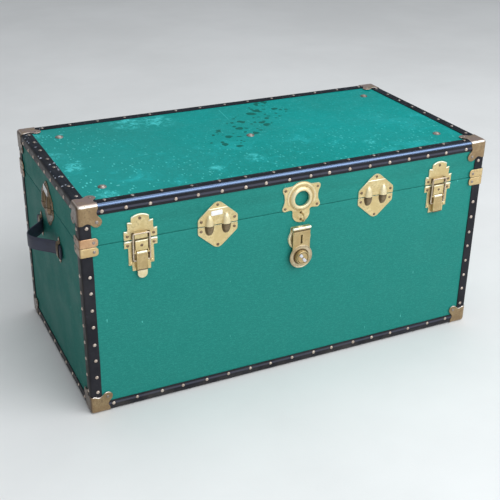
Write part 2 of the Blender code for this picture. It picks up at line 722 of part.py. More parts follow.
def strap_mesh():
    """A flat leather strap, as a band of even thickness along its run."""
    end = LOOP_SPACING / 2.0 + STRAP_TAIL
    steps = 36
    middle = []
    for i in range(steps + 1):
        along = -end + 2.0 * end * i / steps
        middle.append(Vector((along, strap_out(along))))
    outer = []
    inner = []
    for i, point in enumerate(middle):
        before = middle[max(i - 1, 0)]
        after = middle[min(i + 1, steps)]
        tangent = (after - before).normalized()
        normal = Vector((-tangent.y, tangent.x))
        outer.append(point + normal * STRAP_THICK / 2.0)
        inner.append(point - normal * STRAP_THICK / 2.0)
    outline = [(p.x, -p.y) for p in outer] + [(p.x, -p.y) for p in reversed(inner)]
    half = STRAP_WIDTH / 2.0
    return prism_mesh(outline, "Z", -half, half)


def loop_mesh():
    """A riveted bridge that the strap runs through."""
    foot_in = 0.0163
    foot_out = 0.0285
    height = 0.0068
    wall = 0.0013
    half = [
        (0.0, -height), (0.0140, -height), (0.0178, -0.0048), (0.0178, -GAP - wall),
        (foot_out, -GAP - wall), (foot_out, -GAP), (foot_in, -GAP),
        (foot_in, -0.0043), (0.0133, -height + wall), (0.0, -height + wall),
    ]
    outline = [(y, z) for z, y in half]
    outline += [(y, -z) for z, y in reversed(half) if z > 0.0]
    return prism_mesh(outline, "X", -LOOP_HALF_DEPTH, LOOP_HALF_DEPTH)


def make_handles(brass, leather):
    for side, sign in (("left", -1), ("right", 1)):
        anchor = Vector((sign * HALF_X, CASE_Y, PARTING_Z + HANDLE_Z))
        turn = FACE_TURN[side]
        add_part(side + "_handle_strap", strap_mesh(), leather, anchor, turn)
        for place, toward in (("front", -1), ("rear", 1)):
            location = anchor + Vector((0.0, toward * LOOP_SPACING / 2.0, 0.0))
            add_part(side + "_handle_loop_" + place, loop_mesh(), brass, location, turn)


# ---------------------------------------------------------- the rear hinges
REAR_HINGE_WIDTH = 0.060
REAR_KNUCKLE = 0.020
LEAF_HEIGHT = 0.040


def leaf_profile(sign):
    """A leaf from the case face up to the barrel, in (y, z) about the pin."""
    face = HINGE_PIN_OUT
    return [
        (face - GAP, sign * LEAF_HEIGHT), (face - GAP - 0.0015, sign * LEAF_HEIGHT),
        (face - GAP - 0.0015, sign * 0.0075), (0.0, sign * 0.0025),
        (0.0008, sign * 0.0008), (face - GAP, sign * 0.0050),
    ]


def hinge_barrel_mesh(low, high):
    return prism_mesh(circle((0.0, 0.0), HINGE_BARREL, 16), "X", low, high)


def notch_mesh(low, high):
    """A cutter that frees a leaf from its neighbour's barrel."""
    return box_mesh((low, -0.0040, -0.0048), (high, 0.0120, 0.0048))


def rear_leaf_body_mesh():
    """The lower leaf, with two barrels and the pin."""
    half = REAR_HINGE_WIDTH / 2.0
    knuckle = REAR_KNUCKLE / 2.0
    leaf = prism_mesh(leaf_profile(-1.0), "X", -half, half)
    opening = knuckle + GAP
    leaf = cut(leaf, notch_mesh(-opening, opening))
    barrels = [hinge_barrel_mesh(-half, -opening), hinge_barrel_mesh(opening, half)]
    pin = prism_mesh(circle((0.0, 0.0), HINGE_PIN, 16), "X", -knuckle - 0.005, knuckle + 0.005)
    return union(leaf, *barrels, pin)


def rear_leaf_lid_mesh():
    """The upper leaf, with the middle barrel."""
    half = REAR_HINGE_WIDTH / 2.0
    knuckle = REAR_KNUCKLE / 2.0
    leaf = prism_mesh(leaf_profile(1.0), "X", -half, half)
    leaf = cut(leaf, notch_mesh(-half - 0.01, -knuckle), notch_mesh(knuckle, half + 0.01))
    bore = prism_mesh(circle((0.0, 0.0), HINGE_PIN + 0.0001, 16), "X", -0.05, 0.05)
    return cut(union(leaf, hinge_barrel_mesh(-knuckle, knuckle)), bore)


def make_rear_hinges(brass):
    for side, x in (("left", -REAR_HINGE_X), ("right", REAR_HINGE_X)):
        pin = (x, REAR_Y + HINGE_PIN_OUT, PARTING_Z)
        turn = FACE_TURN["rear"]
        add_part("rear_hinge_body_" + side, rear_leaf_body_mesh(), brass, pin, turn)
        add_part("rear_hinge_lid_" + side, rear_leaf_lid_mesh(), brass, pin, turn)


def main():
    clear_scene()
    materials = make_materials()
    make_panels(materials["green_fibre"])
    lid_low = PARTING_Z + PARTING_GAP
    body_high = PARTING_Z - PARTING_GAP
    make_binding("lid_edge_binding", lid_low, TOP_Z, True, materials["black_fibre"])
    make_binding("body_edge_binding", BOTTOM_Z, body_high, False, materials["black_fibre"])
    make_corners(materials["bronze"])
    make_latches(materials["brass"], materials["wire"])
    make_dowels(materials["brass"])
    make_lock(materials["brass"])
    make_handles(materials["brass"], materials["leather"])
    make_rear_hinges(materials["brass"])


main()
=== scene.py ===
"""Looks for the footlocker: fibre skin, bindings, rivets, stamped brass hardware and straps.

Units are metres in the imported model's frame: +X along the trunk, -Y to the front, +Z up.
Hardware is drawn flat, with x to the right, y up from the parting line and z out of the
face it is riveted to, and is then placed on that face.
"""

import math
import random

import bmesh
import bpy
from mathutils import Matrix, Vector, noise


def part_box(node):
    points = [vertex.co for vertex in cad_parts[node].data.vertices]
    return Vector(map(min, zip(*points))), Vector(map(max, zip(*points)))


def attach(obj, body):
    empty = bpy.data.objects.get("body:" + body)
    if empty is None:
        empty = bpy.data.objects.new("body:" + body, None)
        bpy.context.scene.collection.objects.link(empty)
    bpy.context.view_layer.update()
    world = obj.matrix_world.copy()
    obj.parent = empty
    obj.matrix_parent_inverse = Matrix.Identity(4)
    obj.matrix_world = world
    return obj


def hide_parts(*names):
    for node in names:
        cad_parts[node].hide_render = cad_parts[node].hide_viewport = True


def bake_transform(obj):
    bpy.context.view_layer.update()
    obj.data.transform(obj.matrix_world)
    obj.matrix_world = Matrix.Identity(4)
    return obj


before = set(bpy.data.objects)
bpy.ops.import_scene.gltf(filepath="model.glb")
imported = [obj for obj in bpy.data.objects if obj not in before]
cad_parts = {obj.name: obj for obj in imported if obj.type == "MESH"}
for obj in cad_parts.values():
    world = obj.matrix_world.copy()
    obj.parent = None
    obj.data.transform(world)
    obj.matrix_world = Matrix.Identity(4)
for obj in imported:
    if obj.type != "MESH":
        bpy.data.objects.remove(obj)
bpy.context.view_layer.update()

# ------------------------------------------------------------- places from the frame
LEFT_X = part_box("lid_top_panel")[0].x
RIGHT_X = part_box("lid_top_panel")[1].x
FRONT_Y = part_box("lid_top_panel")[0].y
REAR_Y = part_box("lid_top_panel")[1].y
TOP_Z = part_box("lid_top_panel")[1].z
BOTTOM_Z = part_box("base_panel")[0].z
BODY_TOP_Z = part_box("body_front_panel")[1].z
LID_LOW_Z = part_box("lid_front_panel")[0].z
PARTING_Z = (BODY_TOP_Z + LID_LOW_Z) / 2.0
MIDDLE_Y = (FRONT_Y + REAR_Y) / 2.0
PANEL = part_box("base_panel")[1].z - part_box("base_panel")[0].z

# ------------------------------------------------------------- sizes
GAP = 0.0003
BINDING = 0.0015
BINDING_WIDTH = 0.0215
STRIP_START = BINDING_WIDTH + 0.001
SIDE_WIDTH = 0.0198
BINDING_ROUND = 0.0052
SHEET = 0.0012
PROUD = GAP + BINDING + GAP + SHEET
RIVET_IN = 0.0146
POST_RIVET_IN = 0.0150
RIVET_RADIUS = 0.0036
RIVET_HEIGHT = 0.0017
LOW_RIVET_HEIGHT = 0.0007
HARDWARE_RIVET = (0.0031, 0.0013)
RIVET_TILT = 4.0
LINING_THICK = 0.0005
LINING_GAP = 0.0012
LINING_ROUND = 0.006
LINING_SHORT = 0.003
PANEL_GRID = 0.016
SEAM = 0.0360
LAP_STEP = 0.00045
LAP_REACH = 0.03
RECESS_DEPTH = 0.0040
RECESS_CLEAR = 0.0008
RIM = 0.0017
STAMPED = SHEET * 0.8
SHARP_ANGLE = 38.0

LEVER_PIVOT = Vector((0.0, -0.0265, 0.0050))
LEVER_HALF_WIDTH = 0.0113
BAIL_PIVOT_Y = -0.0430
BAIL_TOP_Y = 0.0139
BAIL_TOP_OUT = 0.0069
BAIL_WIRE = 0.0016
BAIL_HALF_WIDTH = 0.0168
HASP_AXIS_Y = -0.0400
HASP_AXIS_OUT = 0.0080
RING_Y = 0.0240
RING_HOLE = 0.0165
STAPLE_Y = -0.0150
STAPLE_HALF = 0.0075
STAPLE_OUT = 0.0165
STAPLE_WIRE = 0.0017
DRUM_RADIUS = 0.0150
DRUM_DEPTH = 0.0103
FLAP_REACH = RING_Y - HASP_AXIS_Y
LOOP_HALF_DEPTH = 0.0090
STRAP_REST = 0.0030
STRAP_BOW = 0.0440
STRAP_THICK = 0.0035
STRAP_WIDTH = 0.0290
STRAP_TAIL = 0.0220
STRAP_TIP = 0.0080
HINGE_PIN_OUT = 0.0067
HINGE_BARREL = 0.0034
HINGE_LEAF = 0.0015
HINGE_NEAR = 0.0070
HINGE_FAR = 0.0400
HINGE_KNUCKLE = 0.0100

X_AXIS = Vector((1.0, 0.0, 0.0))
Y_AXIS = Vector((0.0, 1.0, 0.0))
Z_AXIS = Vector((0.0, 0.0, 1.0))
FRONT = Vector((0.0, -1.0, 0.0))
REAR = Vector((0.0, 1.0, 0.0))
LEFT = Vector((-1.0, 0.0, 0.0))
RIGHT = Vector((1.0, 0.0, 0.0))

# the upright edges of the case: name, then x and y with the directions out of their faces
CORNERS = [
    (y_name + "_" + x_name, x, x_out, y, y_out)
    for x_name, x, x_out in (("left", LEFT_X, LEFT), ("right", RIGHT_X, RIGHT))
    for y_name, y, y_out in (("front", FRONT_Y, FRONT), ("rear", REAR_Y, REAR))
]


def middle_of(node):
    """The middle of a node's box at rest."""
    low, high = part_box(node)
    return (low + high) / 2.0


# ------------------------------------------------------------- shader helpers
def paint(red, green, blue):
    """A 0-255 display colour, as the linear colour a shader needs."""
    linear = []
    for value in (red, green, blue):
        value = value / 255.0
        linear.append(value / 12.92 if value <= 0.04045 else ((value + 0.055) / 1.055) ** 2.4)
    return (*linear, 1.0)


class Finish:
    """One material, with short ways to add and join its nodes."""

    def __init__(self, name):
        self.material = bpy.data.materials.new(name)
        self.material.use_nodes = True
        self.tree = self.material.node_tree
        self.shader = self.tree.nodes["Principled BSDF"]
        where = self.node("ShaderNodeTexCoord")
        self.place = where.outputs["Object"]
        self.facing = where.outputs["Normal"]

    def node(self, kind, inputs=None, **settings):
        node = self.tree.nodes.new(kind)
        for key, value in settings.items():
            setattr(node, key, value)
        for key, value in (inputs or {}).items():
            self.feed(node.inputs[key], value)
        return node

    def feed(self, socket, value):
        if isinstance(value, bpy.types.NodeSocket):
            self.tree.links.new(value, socket)
        else:
            socket.default_value = value

    def stretched(self, scale, turn=(0.0, 0.0, 0.0), shift=(0.0, 0.0, 0.0)):
        inputs = {"Vector": self.place, "Scale": scale, "Rotation": turn, "Location": shift}
        return self.node("ShaderNodeMapping", inputs).outputs[0]

    def noise(self, scale, detail=4.0, roughness=0.55, distortion=0.0, place=None):
        inputs = {
            "Vector": place or self.place, "Scale": scale, "Detail": detail,
            "Roughness": roughness, "Distortion": distortion,
        }
        return self.node("ShaderNodeTexNoise", inputs).outputs[0]

    def cells(self, scale, place=None):
        inputs = {"Vector": place or self.place, "Scale": scale}
        return self.node("ShaderNodeTexVoronoi", inputs).outputs["Distance"]

    def span(self, value, low, high, to_low=0.0, to_high=1.0):
        """Map low..high smoothly onto to_low..to_high, and hold it outside."""
        inputs = {0: value, 1: low, 2: high, 3: to_low, 4: to_high}
        return self.node("ShaderNodeMapRange", inputs, interpolation_type="SMOOTHSTEP").outputs[0]

    def sum(self, first, second, operation="ADD"):
        node = self.node("ShaderNodeMath", {0: first, 1: second}, operation=operation)
        return node.outputs[0]

    def times(self, first, second):
        return self.sum(first, second, "MULTIPLY")

    def blend(self, factor, first, second):
        node = self.node("ShaderNodeMix", data_type="RGBA")
        self.feed(node.inputs[0], factor)
        self.feed(node.inputs[6], first)
        self.feed(node.inputs[7], second)
        return node.outputs[2]

    def stain(self, colour, tint, *factors):
        """Lay a tint over a colour, as far as the product of the factors."""
        amount = factors[0]
        for factor in factors[1:]:
            amount = self.times(amount, factor)
        return self.blend(amount, colour, tint)

    def uneven(self, scale, detail, low, high):
        """A value that drifts between low and high in soft clouds."""
        return self.span(self.noise(scale, detail), 0.3, 0.7, low, high)

    def within(self, value, start, full, fade, end):
        """1 from full to fade, easing to 0 at start and at end."""
        return self.times(self.span(value, start, full), self.span(value, fade, end, 1.0, 0.0))

    def size_of(self, value):
        """A value without its sign."""
        return self.node("ShaderNodeMath", {0: value}, operation="ABSOLUTE").outputs[0]

    def axis(self, name, vector=None):
        split = self.node("ShaderNodeSeparateXYZ", {0: vector or self.place})
        return split.outputs[name]

    def flat(self, is_top):
        """Two-way coordinates: across the lid's top, or round the sides and up them."""
        if is_top:
            return self.place
        round_sides = self.sum(self.axis("X"), self.axis("Y"))
        return self.node("ShaderNodeCombineXYZ", {0: round_sides, 1: self.axis("Z")}).outputs[0]

    def warped(self, place, scale, amount):
        """Coordinates pushed about by noise, to make round shapes ragged."""
        inputs = {"Vector": place, "Scale": scale, "Detail": 3.0}
        wobble = self.node("ShaderNodeTexNoise", inputs).outputs["Color"]
        centred = self.node("ShaderNodeVectorMath", {0: wobble, 1: (0.5, 0.5, 0.5)}, operation="SUBTRACT")
        inputs = {0: centred.outputs[0], 1: (amount, amount, amount), 2: place}
        return self.node("ShaderNodeVectorMath", inputs, operation="MULTIPLY_ADD").outputs[0]

    def dots(self, place, scale, share, most, soft=0.05):
        """Round dots of mixed sizes, in a share of the cells of a flat pattern."""
        inputs = {"Vector": place, "Scale": scale}
        node = self.node("ShaderNodeTexVoronoi", inputs, feature="F1", voronoi_dimensions="2D")
        chance = self.node("ShaderNodeSeparateColor", {0: node.outputs["Color"]}).outputs[0]
        radius = self.span(chance, 1.0 - share, 1.0, -soft, most)
        return self.span(self.sum(node.outputs["Distance"], radius, "SUBTRACT"), 0.0, soft, 1.0, 0.0)

    def near(self, centre, radius, soft):
        """1 inside a ball round a point, fading to 0 over a soft rim."""
        node = self.node("ShaderNodeVectorMath", {0: self.place, 1: centre}, operation="DISTANCE")
        return self.span(node.outputs["Value"], radius, radius + soft, 1.0, 0.0)

    def bump(self, height, depth, strength):
        inputs = {"Height": height, "Distance": depth, "Strength": strength}
        return self.node("ShaderNodeBump", inputs).outputs[0]

    def done(self, colour, roughness, metallic=0.0, normal=None, specular=0.5, coat=0.0, coat_rough=0.1):
        self.feed(self.shader.inputs["Base Color"], colour)
        self.feed(self.shader.inputs["Roughness"], roughness)
        self.shader.inputs["Metallic"].default_value = metallic
        self.shader.inputs["Specular IOR Level"].default_value = specular
        self.shader.inputs["Coat Weight"].default_value = coat
        self.shader.inputs["Coat Roughness"].default_value = coat_rough
        if normal is not None:
            self.feed(self.shader.inputs["Normal"], normal)
        return self.material


# ------------------------------------------------------------- materials
def cloth_grain(finish):
    """The fine wavy grain pressed into the fibre skin."""
    strokes = finish.noise(1.0, 3.0, 0.6, 0.5, finish.stretched((110.0, 110.0, 420.0)))
    pits = finish.cells(1.0, finish.stretched((360.0, 360.0, 560.0)))
    return finish.sum(finish.times(strokes, 0.8), finish.times(pits, 0.35))


def green_fibre(name, base, dark, light, specular, is_top=False):
    """Dyed vulcanised fibre over plywood, with specks, scuffs and fine scratches."""
    finish = Finish(name)
    grain = cloth_grain(finish)
    flat = finish.flat(is_top)
    broad = finish.span(finish.noise(2.6, 4.0, 0.5), 0.30, 0.70)
    colour = finish.blend(broad, dark, base)
    # darker towards the bottom: partly painted shade for light falling from above, partly dirt
    colour = finish.blend(finish.span(finish.axis("Z"), 0.22, 0.42, 0.95, 0.0), colour, dark)
    colour = finish.stain(colour, light, finish.span(grain, 0.50, 0.80), 0.34)
    colour = finish.stain(colour, dark, finish.span(grain, 0.36, 0.54, 1.0, 0.0), 0.42)
    # short pale nicks, mostly upright, and a few soft rubs
    inputs = {0: flat, 1: (1.0, 0.35, 1.0)}
    tall = finish.node("ShaderNodeVectorMath", inputs, operation="MULTIPLY").outputs[0]
    nicks = finish.dots(finish.warped(tall, 260.0, 0.004), 42.0, 0.06, 0.035, 0.03)
    colour = finish.stain(colour, paint(96, 196, 184), nicks, 0.55)
    rubs = finish.times(finish.span(finish.noise(24.0, 5.0, 0.7), 0.62, 0.80), 0.25)
    colour = finish.blend(rubs, colour, light)
    if is_top:
        colour = lid_top_wear(finish, colour)
        roughness = finish.uneven(14.0, 4.0, 0.44, 0.60)
    else:
        roughness = finish.uneven(14.0, 4.0, 0.50, 0.66)
    normal = finish.bump(grain, 0.0005, 0.6)
    return finish.done(colour, roughness, 0.0, normal, specular=specular)


def lid_top_wear(finish, colour):
    """Pale specks all over, scuffed cyan patches, and a slanting trail of dark drops."""
    ragged = finish.warped(finish.place, 90.0, 0.012)
    left_edge = finish.span(finish.axis("X"), LEFT_X + 0.03, LEFT_X + 0.24, 1.0, 0.0)
    dull = finish.span(finish.axis("X"), LEFT_X + 0.05, LEFT_X + 0.45, 0.55, 0.0)
    drift = finish.span(finish.noise(7.0, 4.0), 0.3, 0.7, 0.6, 1.0)
    colour = finish.stain(colour, paint(44, 130, 122), dull, drift)
    front_half = finish.span(finish.axis("Y"), MIDDLE_Y - 0.10, MIDDLE_Y + 0.05, 1.0, 0.0)
    leaning = finish.stretched((1.0, 0.55, 1.0), (0.0, 0.0, -0.3))
    fine = finish.dots(finish.warped(leaning, 120.0, 0.004), 135.0, 0.40, 0.20, 0.08)
    spread = finish.sum(finish.times(left_edge, 0.28), finish.sum(finish.times(front_half, 0.24), 0.16))
    colour = finish.stain(colour, paint(96, 214, 206), fine, spread)
    bold = finish.dots(ragged, 48.0, 0.14, 0.12, 0.05)
    amount = finish.sum(finish.times(left_edge, 0.35), finish.sum(finish.times(front_half, 0.12), 0.10))
    colour = finish.stain(colour, paint(112, 206, 200), bold, amount)
    cloud = finish.noise(13.0, 6.0, 0.72, 0.5)
    soft_rub = finish.times(finish.span(cloud, 0.50, 0.72), finish.sum(finish.times(front_half, 0.40), 0.12))
    colour = finish.blend(soft_rub, colour, paint(44, 176, 176))
    chalk = finish.span(finish.noise(46.0, 6.0, 0.78, 0.6), 0.46, 0.60)
    patches = None
    for x, y, radius in (
        (LEFT_X + 0.237, REAR_Y - 0.050, 0.020), (LEFT_X + 0.300, REAR_Y - 0.062, 0.020),
        (LEFT_X + 0.046, FRONT_Y + 0.190, 0.010), (LEFT_X + 0.056, FRONT_Y + 0.218, 0.008),
        (LEFT_X + 0.024, REAR_Y - 0.040, 0.012), (LEFT_X + 0.022, REAR_Y - 0.190, 0.012),
        (LEFT_X + 0.310, FRONT_Y + 0.088, 0.003), (LEFT_X + 0.070, FRONT_Y + 0.040, 0.008),
        (LEFT_X + 0.408, FRONT_Y + 0.110, 0.008), (RIGHT_X - 0.236, FRONT_Y + 0.095, 0.004),
    ):
        spot = finish.near((x, y, TOP_Z), radius, 0.012 + radius)
        patches = spot if patches is None else finish.sum(patches, spot, "MAXIMUM")
    colour = finish.stain(colour, paint(84, 208, 206), chalk, patches, 0.62)
    # a thin upright scratch behind the middle
    run = finish.sum(finish.axis("X"), finish.times(finish.axis("Y"), -0.10))
    line = finish.within(run, -0.0120, -0.0109, -0.0109, -0.0094)
    from_middle = finish.sum(finish.axis("Y"), MIDDLE_Y, "SUBTRACT")
    reach = finish.within(from_middle, 0.115, 0.125, 0.185, 0.195)
    colour = finish.stain(colour, paint(90, 205, 200), line, reach, 0.45)
    # the drops lie along a line that slants back to the right from beside the middle stud
    slant = math.radians(42.0)
    trail = finish.stretched((1.0, 1.0, 1.0), (0.0, 0.0, -slant), (0.0, -0.038, 0.0))
    along = finish.axis("X", trail)
    across = finish.size_of(finish.axis("Y", trail))
    band = finish.times(finish.span(across, 0.030, 0.058, 1.0, 0.0), finish.span(along, -0.105, -0.060))
    band = finish.times(band, finish.span(along, 0.20, 0.29, 1.0, 0.0))
    shapes = finish.warped(finish.place, 55.0, 0.016)
    drops = finish.dots(shapes, 44.0, 0.62, 0.44, 0.05)
    small = finish.dots(shapes, 82.0, 0.42, 0.36, 0.06)
    drops = finish.times(finish.sum(drops, small, "MAXIMUM"), finish.span(band, 0.15, 0.55))
    return finish.stain(colour, paint(8, 92, 80), drops, 0.95)


def black_fibre(name, edge=False):
    """Black fibre strip. Its folded edge is polished by handling."""
    finish = Finish(name)
    cloud = finish.span(finish.noise(9.0, 5.0, 0.65), 0.35, 0.7)
    # side faces are painted lighter than upward faces: painted light on the sides, and painted shade with a
    # bluish painted reflection on the tops
    upward = finish.span(finish.axis("Z", finish.facing), 0.5, 0.9)
    side = finish.blend(cloud, paint(28, 28, 33), paint(44, 43, 47))
    top = finish.blend(cloud, paint(6, 9, 15), paint(14, 20, 30))
    colour = finish.blend(upward, side, top)
    rubbed = finish.span(finish.noise(120.0, 5.0, 0.7), 0.62, 0.78)
    colour = finish.stain(colour, paint(84, 82, 90), rubbed, 0.28)
    # the line of rivets stands on a low rib; the lighter band along it on the side faces is a painted
    # highlight where the rib catches the light
    for row in (TOP_Z - RIVET_IN + 0.0026, BOTTOM_Z + RIVET_IN - 0.0010):
        away = finish.sum(finish.axis("Z"), row, "SUBTRACT")
        away = finish.size_of(away)
        line = finish.span(away, 0.0012, 0.0030, 1.0, 0.0)
        line = finish.times(line, finish.span(upward, 0.1, 0.4, 1.0, 0.0))
        colour = finish.stain(colour, paint(80, 80, 94), line, 0.62)
    dust = finish.span(finish.noise(26.0, 5.0, 0.7), 0.40, 0.66)
    out_x = finish.size_of(finish.axis("X", finish.facing))
    end_face_shade_and_dust = finish.span(out_x, 0.5, 0.9)
    # the end faces are darkened as painted shade, then dusted
    colour = finish.stain(colour, paint(26, 23, 22), end_face_shade_and_dust, 0.6)
    colour = finish.stain(colour, paint(64, 55, 49), dust, end_face_shade_and_dust, 0.45)
    low = finish.span(finish.axis("Z"), BOTTOM_Z, BOTTOM_Z + 0.03, 1.0, 0.0)
    colour = finish.stain(colour, paint(84, 78, 70), dust, low, 0.35)
    chips = finish.dots(finish.warped(finish.place, 120.0, 0.01), 110.0, 0.36, 0.20, 0.08)
    left_end = finish.span(finish.axis("X"), LEFT_X + 0.02, LEFT_X + 0.08, 1.0, 0.12)
    chips = finish.times(finish.times(chips, upward), left_end)
    colour = finish.stain(colour, paint(186, 192, 204), chips, 0.75)
    grain = finish.noise(520.0, 3.0, 0.6)
    drag = finish.noise(1.0, 4.0, 0.6, 0.3, finish.stretched((18.0, 150.0, 150.0)))
    normal = finish.bump(finish.sum(finish.times(grain, 0.3), drag), 0.00025, 0.5)
    if edge:
        roughness = finish.uneven(30.0, 4.0, 0.16, 0.30)
        # the bluish specular tint paints the reflection of a blue sky into the polished edge
        finish.shader.inputs["IOR"].default_value = 2.3
        finish.shader.inputs["Specular Tint"].default_value = (0.46, 0.64, 1.0, 1.0)
        return finish.done(finish.blend(0.5, colour, paint(6, 9, 15)), roughness, 0.0, normal, specular=0.8)
    roughness = finish.uneven(30.0, 4.0, 0.34, 0.50)
    return finish.done(colour, roughness, 0.0, normal, specular=0.14)


def old_metal(name, bright, base, brown, tarnish=0.5, rough=(0.30, 0.50), pits=0.5, ends=None, lit_top_colour=None):
    """Plated sheet metal: bright where rubbed, browner where it has tarnished. Side faces may take a painted
    shade colour, upward faces a painted light colour, and the fold between them a painted highlight.
    """
    finish = Finish(name)
    cloud = finish.noise(42.0, 6.0, 0.66, 0.4)
    fine = finish.noise(210.0, 5.0, 0.7)
    # faces turned to the sides take the ends colour: painted shade
    if ends is not None:
        out_x = finish.size_of(finish.axis("X", finish.facing))
        base = finish.blend(finish.span(out_x, 0.45, 0.85), base, ends)
        bright = finish.blend(finish.span(out_x, 0.45, 0.85), bright, ends)
    # upward faces take the lit top colour as painted light, and the fold between front and top a painted
    # highlight
    if lit_top_colour is not None:
        up_face = finish.axis("Z", finish.facing)
        fold = finish.within(up_face, 0.20, 0.45, 0.80, 0.96)
        fold = finish.times(fold, finish.span(out_x, 0.35, 0.75, 1.0, 0.0))
        base = finish.blend(finish.span(up_face, 0.45, 0.85), base, lit_top_colour)
        bright = finish.blend(fold, bright, paint(246, 236, 226))
        base = finish.stain(base, paint(226, 214, 202), fold, 0.8)
    colour = finish.blend(finish.span(cloud, 0.40, 0.68), base, bright)
    spots = finish.span(finish.sum(finish.times(cloud, 0.5), finish.times(fine, 0.5)), 0.50, 0.66)
    colour = finish.stain(colour, brown, spots, tarnish)
    roughness = finish.span(fine, 0.3, 0.7, *rough)
    scratch = finish.noise(1.0, 3.0, 0.6, 0.2, finish.stretched((900.0, 160.0, 160.0)))
    height = finish.sum(finish.times(fine, pits), finish.times(scratch, 0.35))
    normal = finish.bump(height, 0.00022, 0.55)
    return finish.done(colour, roughness, 0.7, normal, coat=0.35, coat_rough=0.22)


def strap_leather(name, base, worn):
    finish = Finish(name)
    pores = finish.cells(900.0)
    cloud = finish.span(finish.noise(30.0, 5.0, 0.65), 0.35, 0.7)
    colour = finish.stain(base, worn, cloud, 0.8)
    rub = finish.span(finish.noise(160.0, 4.0, 0.7), 0.62, 0.78)
    colour = finish.stain(colour, paint(110, 112, 124), rub, 0.35)
    roughness = finish.uneven(60.0, 3.0, 0.38, 0.58)
    creases = finish.noise(1.0, 4.0, 0.6, 1.0, finish.stretched((90.0, 90.0, 260.0)))
    height = finish.sum(finish.times(pores, 0.5), finish.times(creases, 0.8))
    return finish.done(colour, roughness, 0.0, finish.bump(height, 0.0004, 0.5), specular=0.4)


def lining_paper(name):
    finish = Finish(name)
    fibres = finish.noise(1.0, 5.0, 0.7, 0.5, finish.stretched((120.0, 120.0, 420.0)))
    stain = finish.span(finish.noise(4.0, 5.0, 0.65), 0.42, 0.72)
    colour = finish.blend(finish.span(fibres, 0.3, 0.7), paint(150, 136, 108), paint(186, 172, 142))
    colour = finish.stain(colour, paint(126, 104, 74), stain, 0.45)
    roughness = finish.span(fibres, 0.3, 0.7, 0.75, 0.9)
    return finish.done(colour, roughness, 0.0, finish.bump(fibres, 0.0003, 0.5), specular=0.25)


def label_paper(name):
    finish = Finish(name)
    fibres = finish.noise(700.0, 4.0, 0.7)
    soiled = finish.span(finish.noise(120.0, 4.0, 0.6), 0.45, 0.75)
    colour = finish.stain(paint(242, 240, 238), paint(214, 212, 214), soiled, 0.5)
    roughness = finish.span(fibres, 0.3, 0.7, 0.55, 0.75)
    return finish.done(colour, roughness, 0.0, finish.bump(fibres, 0.0001, 0.4), specular=0.35)


def floor_finish(name):
    finish = Finish(name)
    cloud = finish.span(finish.noise(1.3, 5.0, 0.6), 0.3, 0.7)
    colour = finish.blend(cloud, paint(222, 220, 216), paint(230, 228, 224))
    speck = finish.noise(220.0, 3.0, 0.6)
    return finish.done(colour, 0.85, 0.0, finish.bump(speck, 0.0006, 0.25), specular=0.2)


GREEN_FRONT = green_fibre("green_front", paint(32, 134, 122), paint(26, 121, 110), paint(50, 154, 141), 0.20)
# the ends and the base are a darker green than the front: painted shade on faces turned from the light
GREEN_END_SHADED = green_fibre("green_end_painted_shade", paint(38, 118, 106), paint(30, 104, 94), paint(54, 136, 123), 0.12)
GREEN_TOP = green_fibre(
    "green_top", paint(10, 142, 136), paint(14, 130, 122), paint(32, 162, 156), 0.06, is_top=True
)
BLACK = black_fibre("black_binding")
BLACK_EDGE = black_fibre("black_binding_edge", edge=True)
BRASS = old_metal("brass", paint(230, 210, 156), paint(210, 186, 130), paint(150, 123, 76), 0.5)
# a paler brass for rims, beads, rolls and barrels: painted highlight
BRASS_HIGHLIGHT = old_metal("brass_painted_highlight", paint(255, 250, 228), paint(250, 241, 208), paint(228, 210, 164), 0.25)
# a paler brass for raised parts that face the light: painted light
BRASS_LIT = old_metal(
    "brass_painted_light", paint(244, 231, 194), paint(229, 210, 162), paint(190, 163, 112), 0.4, (0.40, 0.56)
)
BRASS_SHADE = old_metal("brass_shade", paint(204, 180, 130), paint(182, 156, 106), paint(126, 102, 66), 0.45)
BRASS_DARK = old_metal("brass_dark", paint(118, 98, 66), paint(86, 68, 44), paint(44, 32, 20), 0.6)
# the cap's end faces are painted darker (painted shade) and its top faces lighter and pinker (painted light)
BRONZE = old_metal(
    "cap_bronze", paint(168, 142, 104), paint(142, 116, 82), paint(90, 70, 50), 0.6, (0.28, 0.46), 0.9,
    ends=paint(98, 78, 60), lit_top_colour=paint(150, 126, 116),
)
# the clamps' end faces are painted darker: painted shade
CLAMP_BRASS = old_metal(
    "clamp_brass", paint(220, 194, 142), paint(200, 170, 118), paint(140, 110, 72), 0.45, (0.3, 0.5), 0.5,
    ends=paint(140, 116, 86),
)
COPPER = old_metal(
    "clamp_copper", paint(214, 172, 132), paint(192, 148, 108), paint(132, 98, 72), 0.45, (0.3, 0.5), 0.5,
    ends=paint(140, 108, 84),
)
# a darker brass for hardware lying in shade and for the downward-facing sockets: painted shade
SHADED_BRASS = old_metal(
    "brass_painted_shade", paint(150, 130, 98), paint(120, 100, 72), paint(66, 52, 36), 0.5, (0.4, 0.6), 0.5,
    ends=paint(104, 86, 60),
)
RIVET = old_metal("rivet_head", paint(222, 206, 192), paint(184, 164, 148), paint(104, 82, 66), 0.55)
RIVET_DULL = old_metal("dull_rivet_head", paint(170, 158, 148), paint(130, 118, 108), paint(80, 66, 56), 0.5)
RIVET_DARK = old_metal("hardware_rivet", paint(150, 126, 98), paint(110, 88, 66), paint(52, 40, 30), 0.6)
WIRE = old_metal(
    "bail_wire", paint(226, 210, 190), paint(186, 166, 142), paint(122, 100, 78), 0.45, (0.24, 0.40), 0.2
)
WIRE_BRIGHT = old_metal("bright_steel", paint(244, 244, 248), paint(214, 214, 222), paint(140, 134, 130), 0.3)
RING_METAL = old_metal("ring_metal", paint(214, 198, 166), paint(182, 162, 126), paint(120, 98, 70), 0.5)
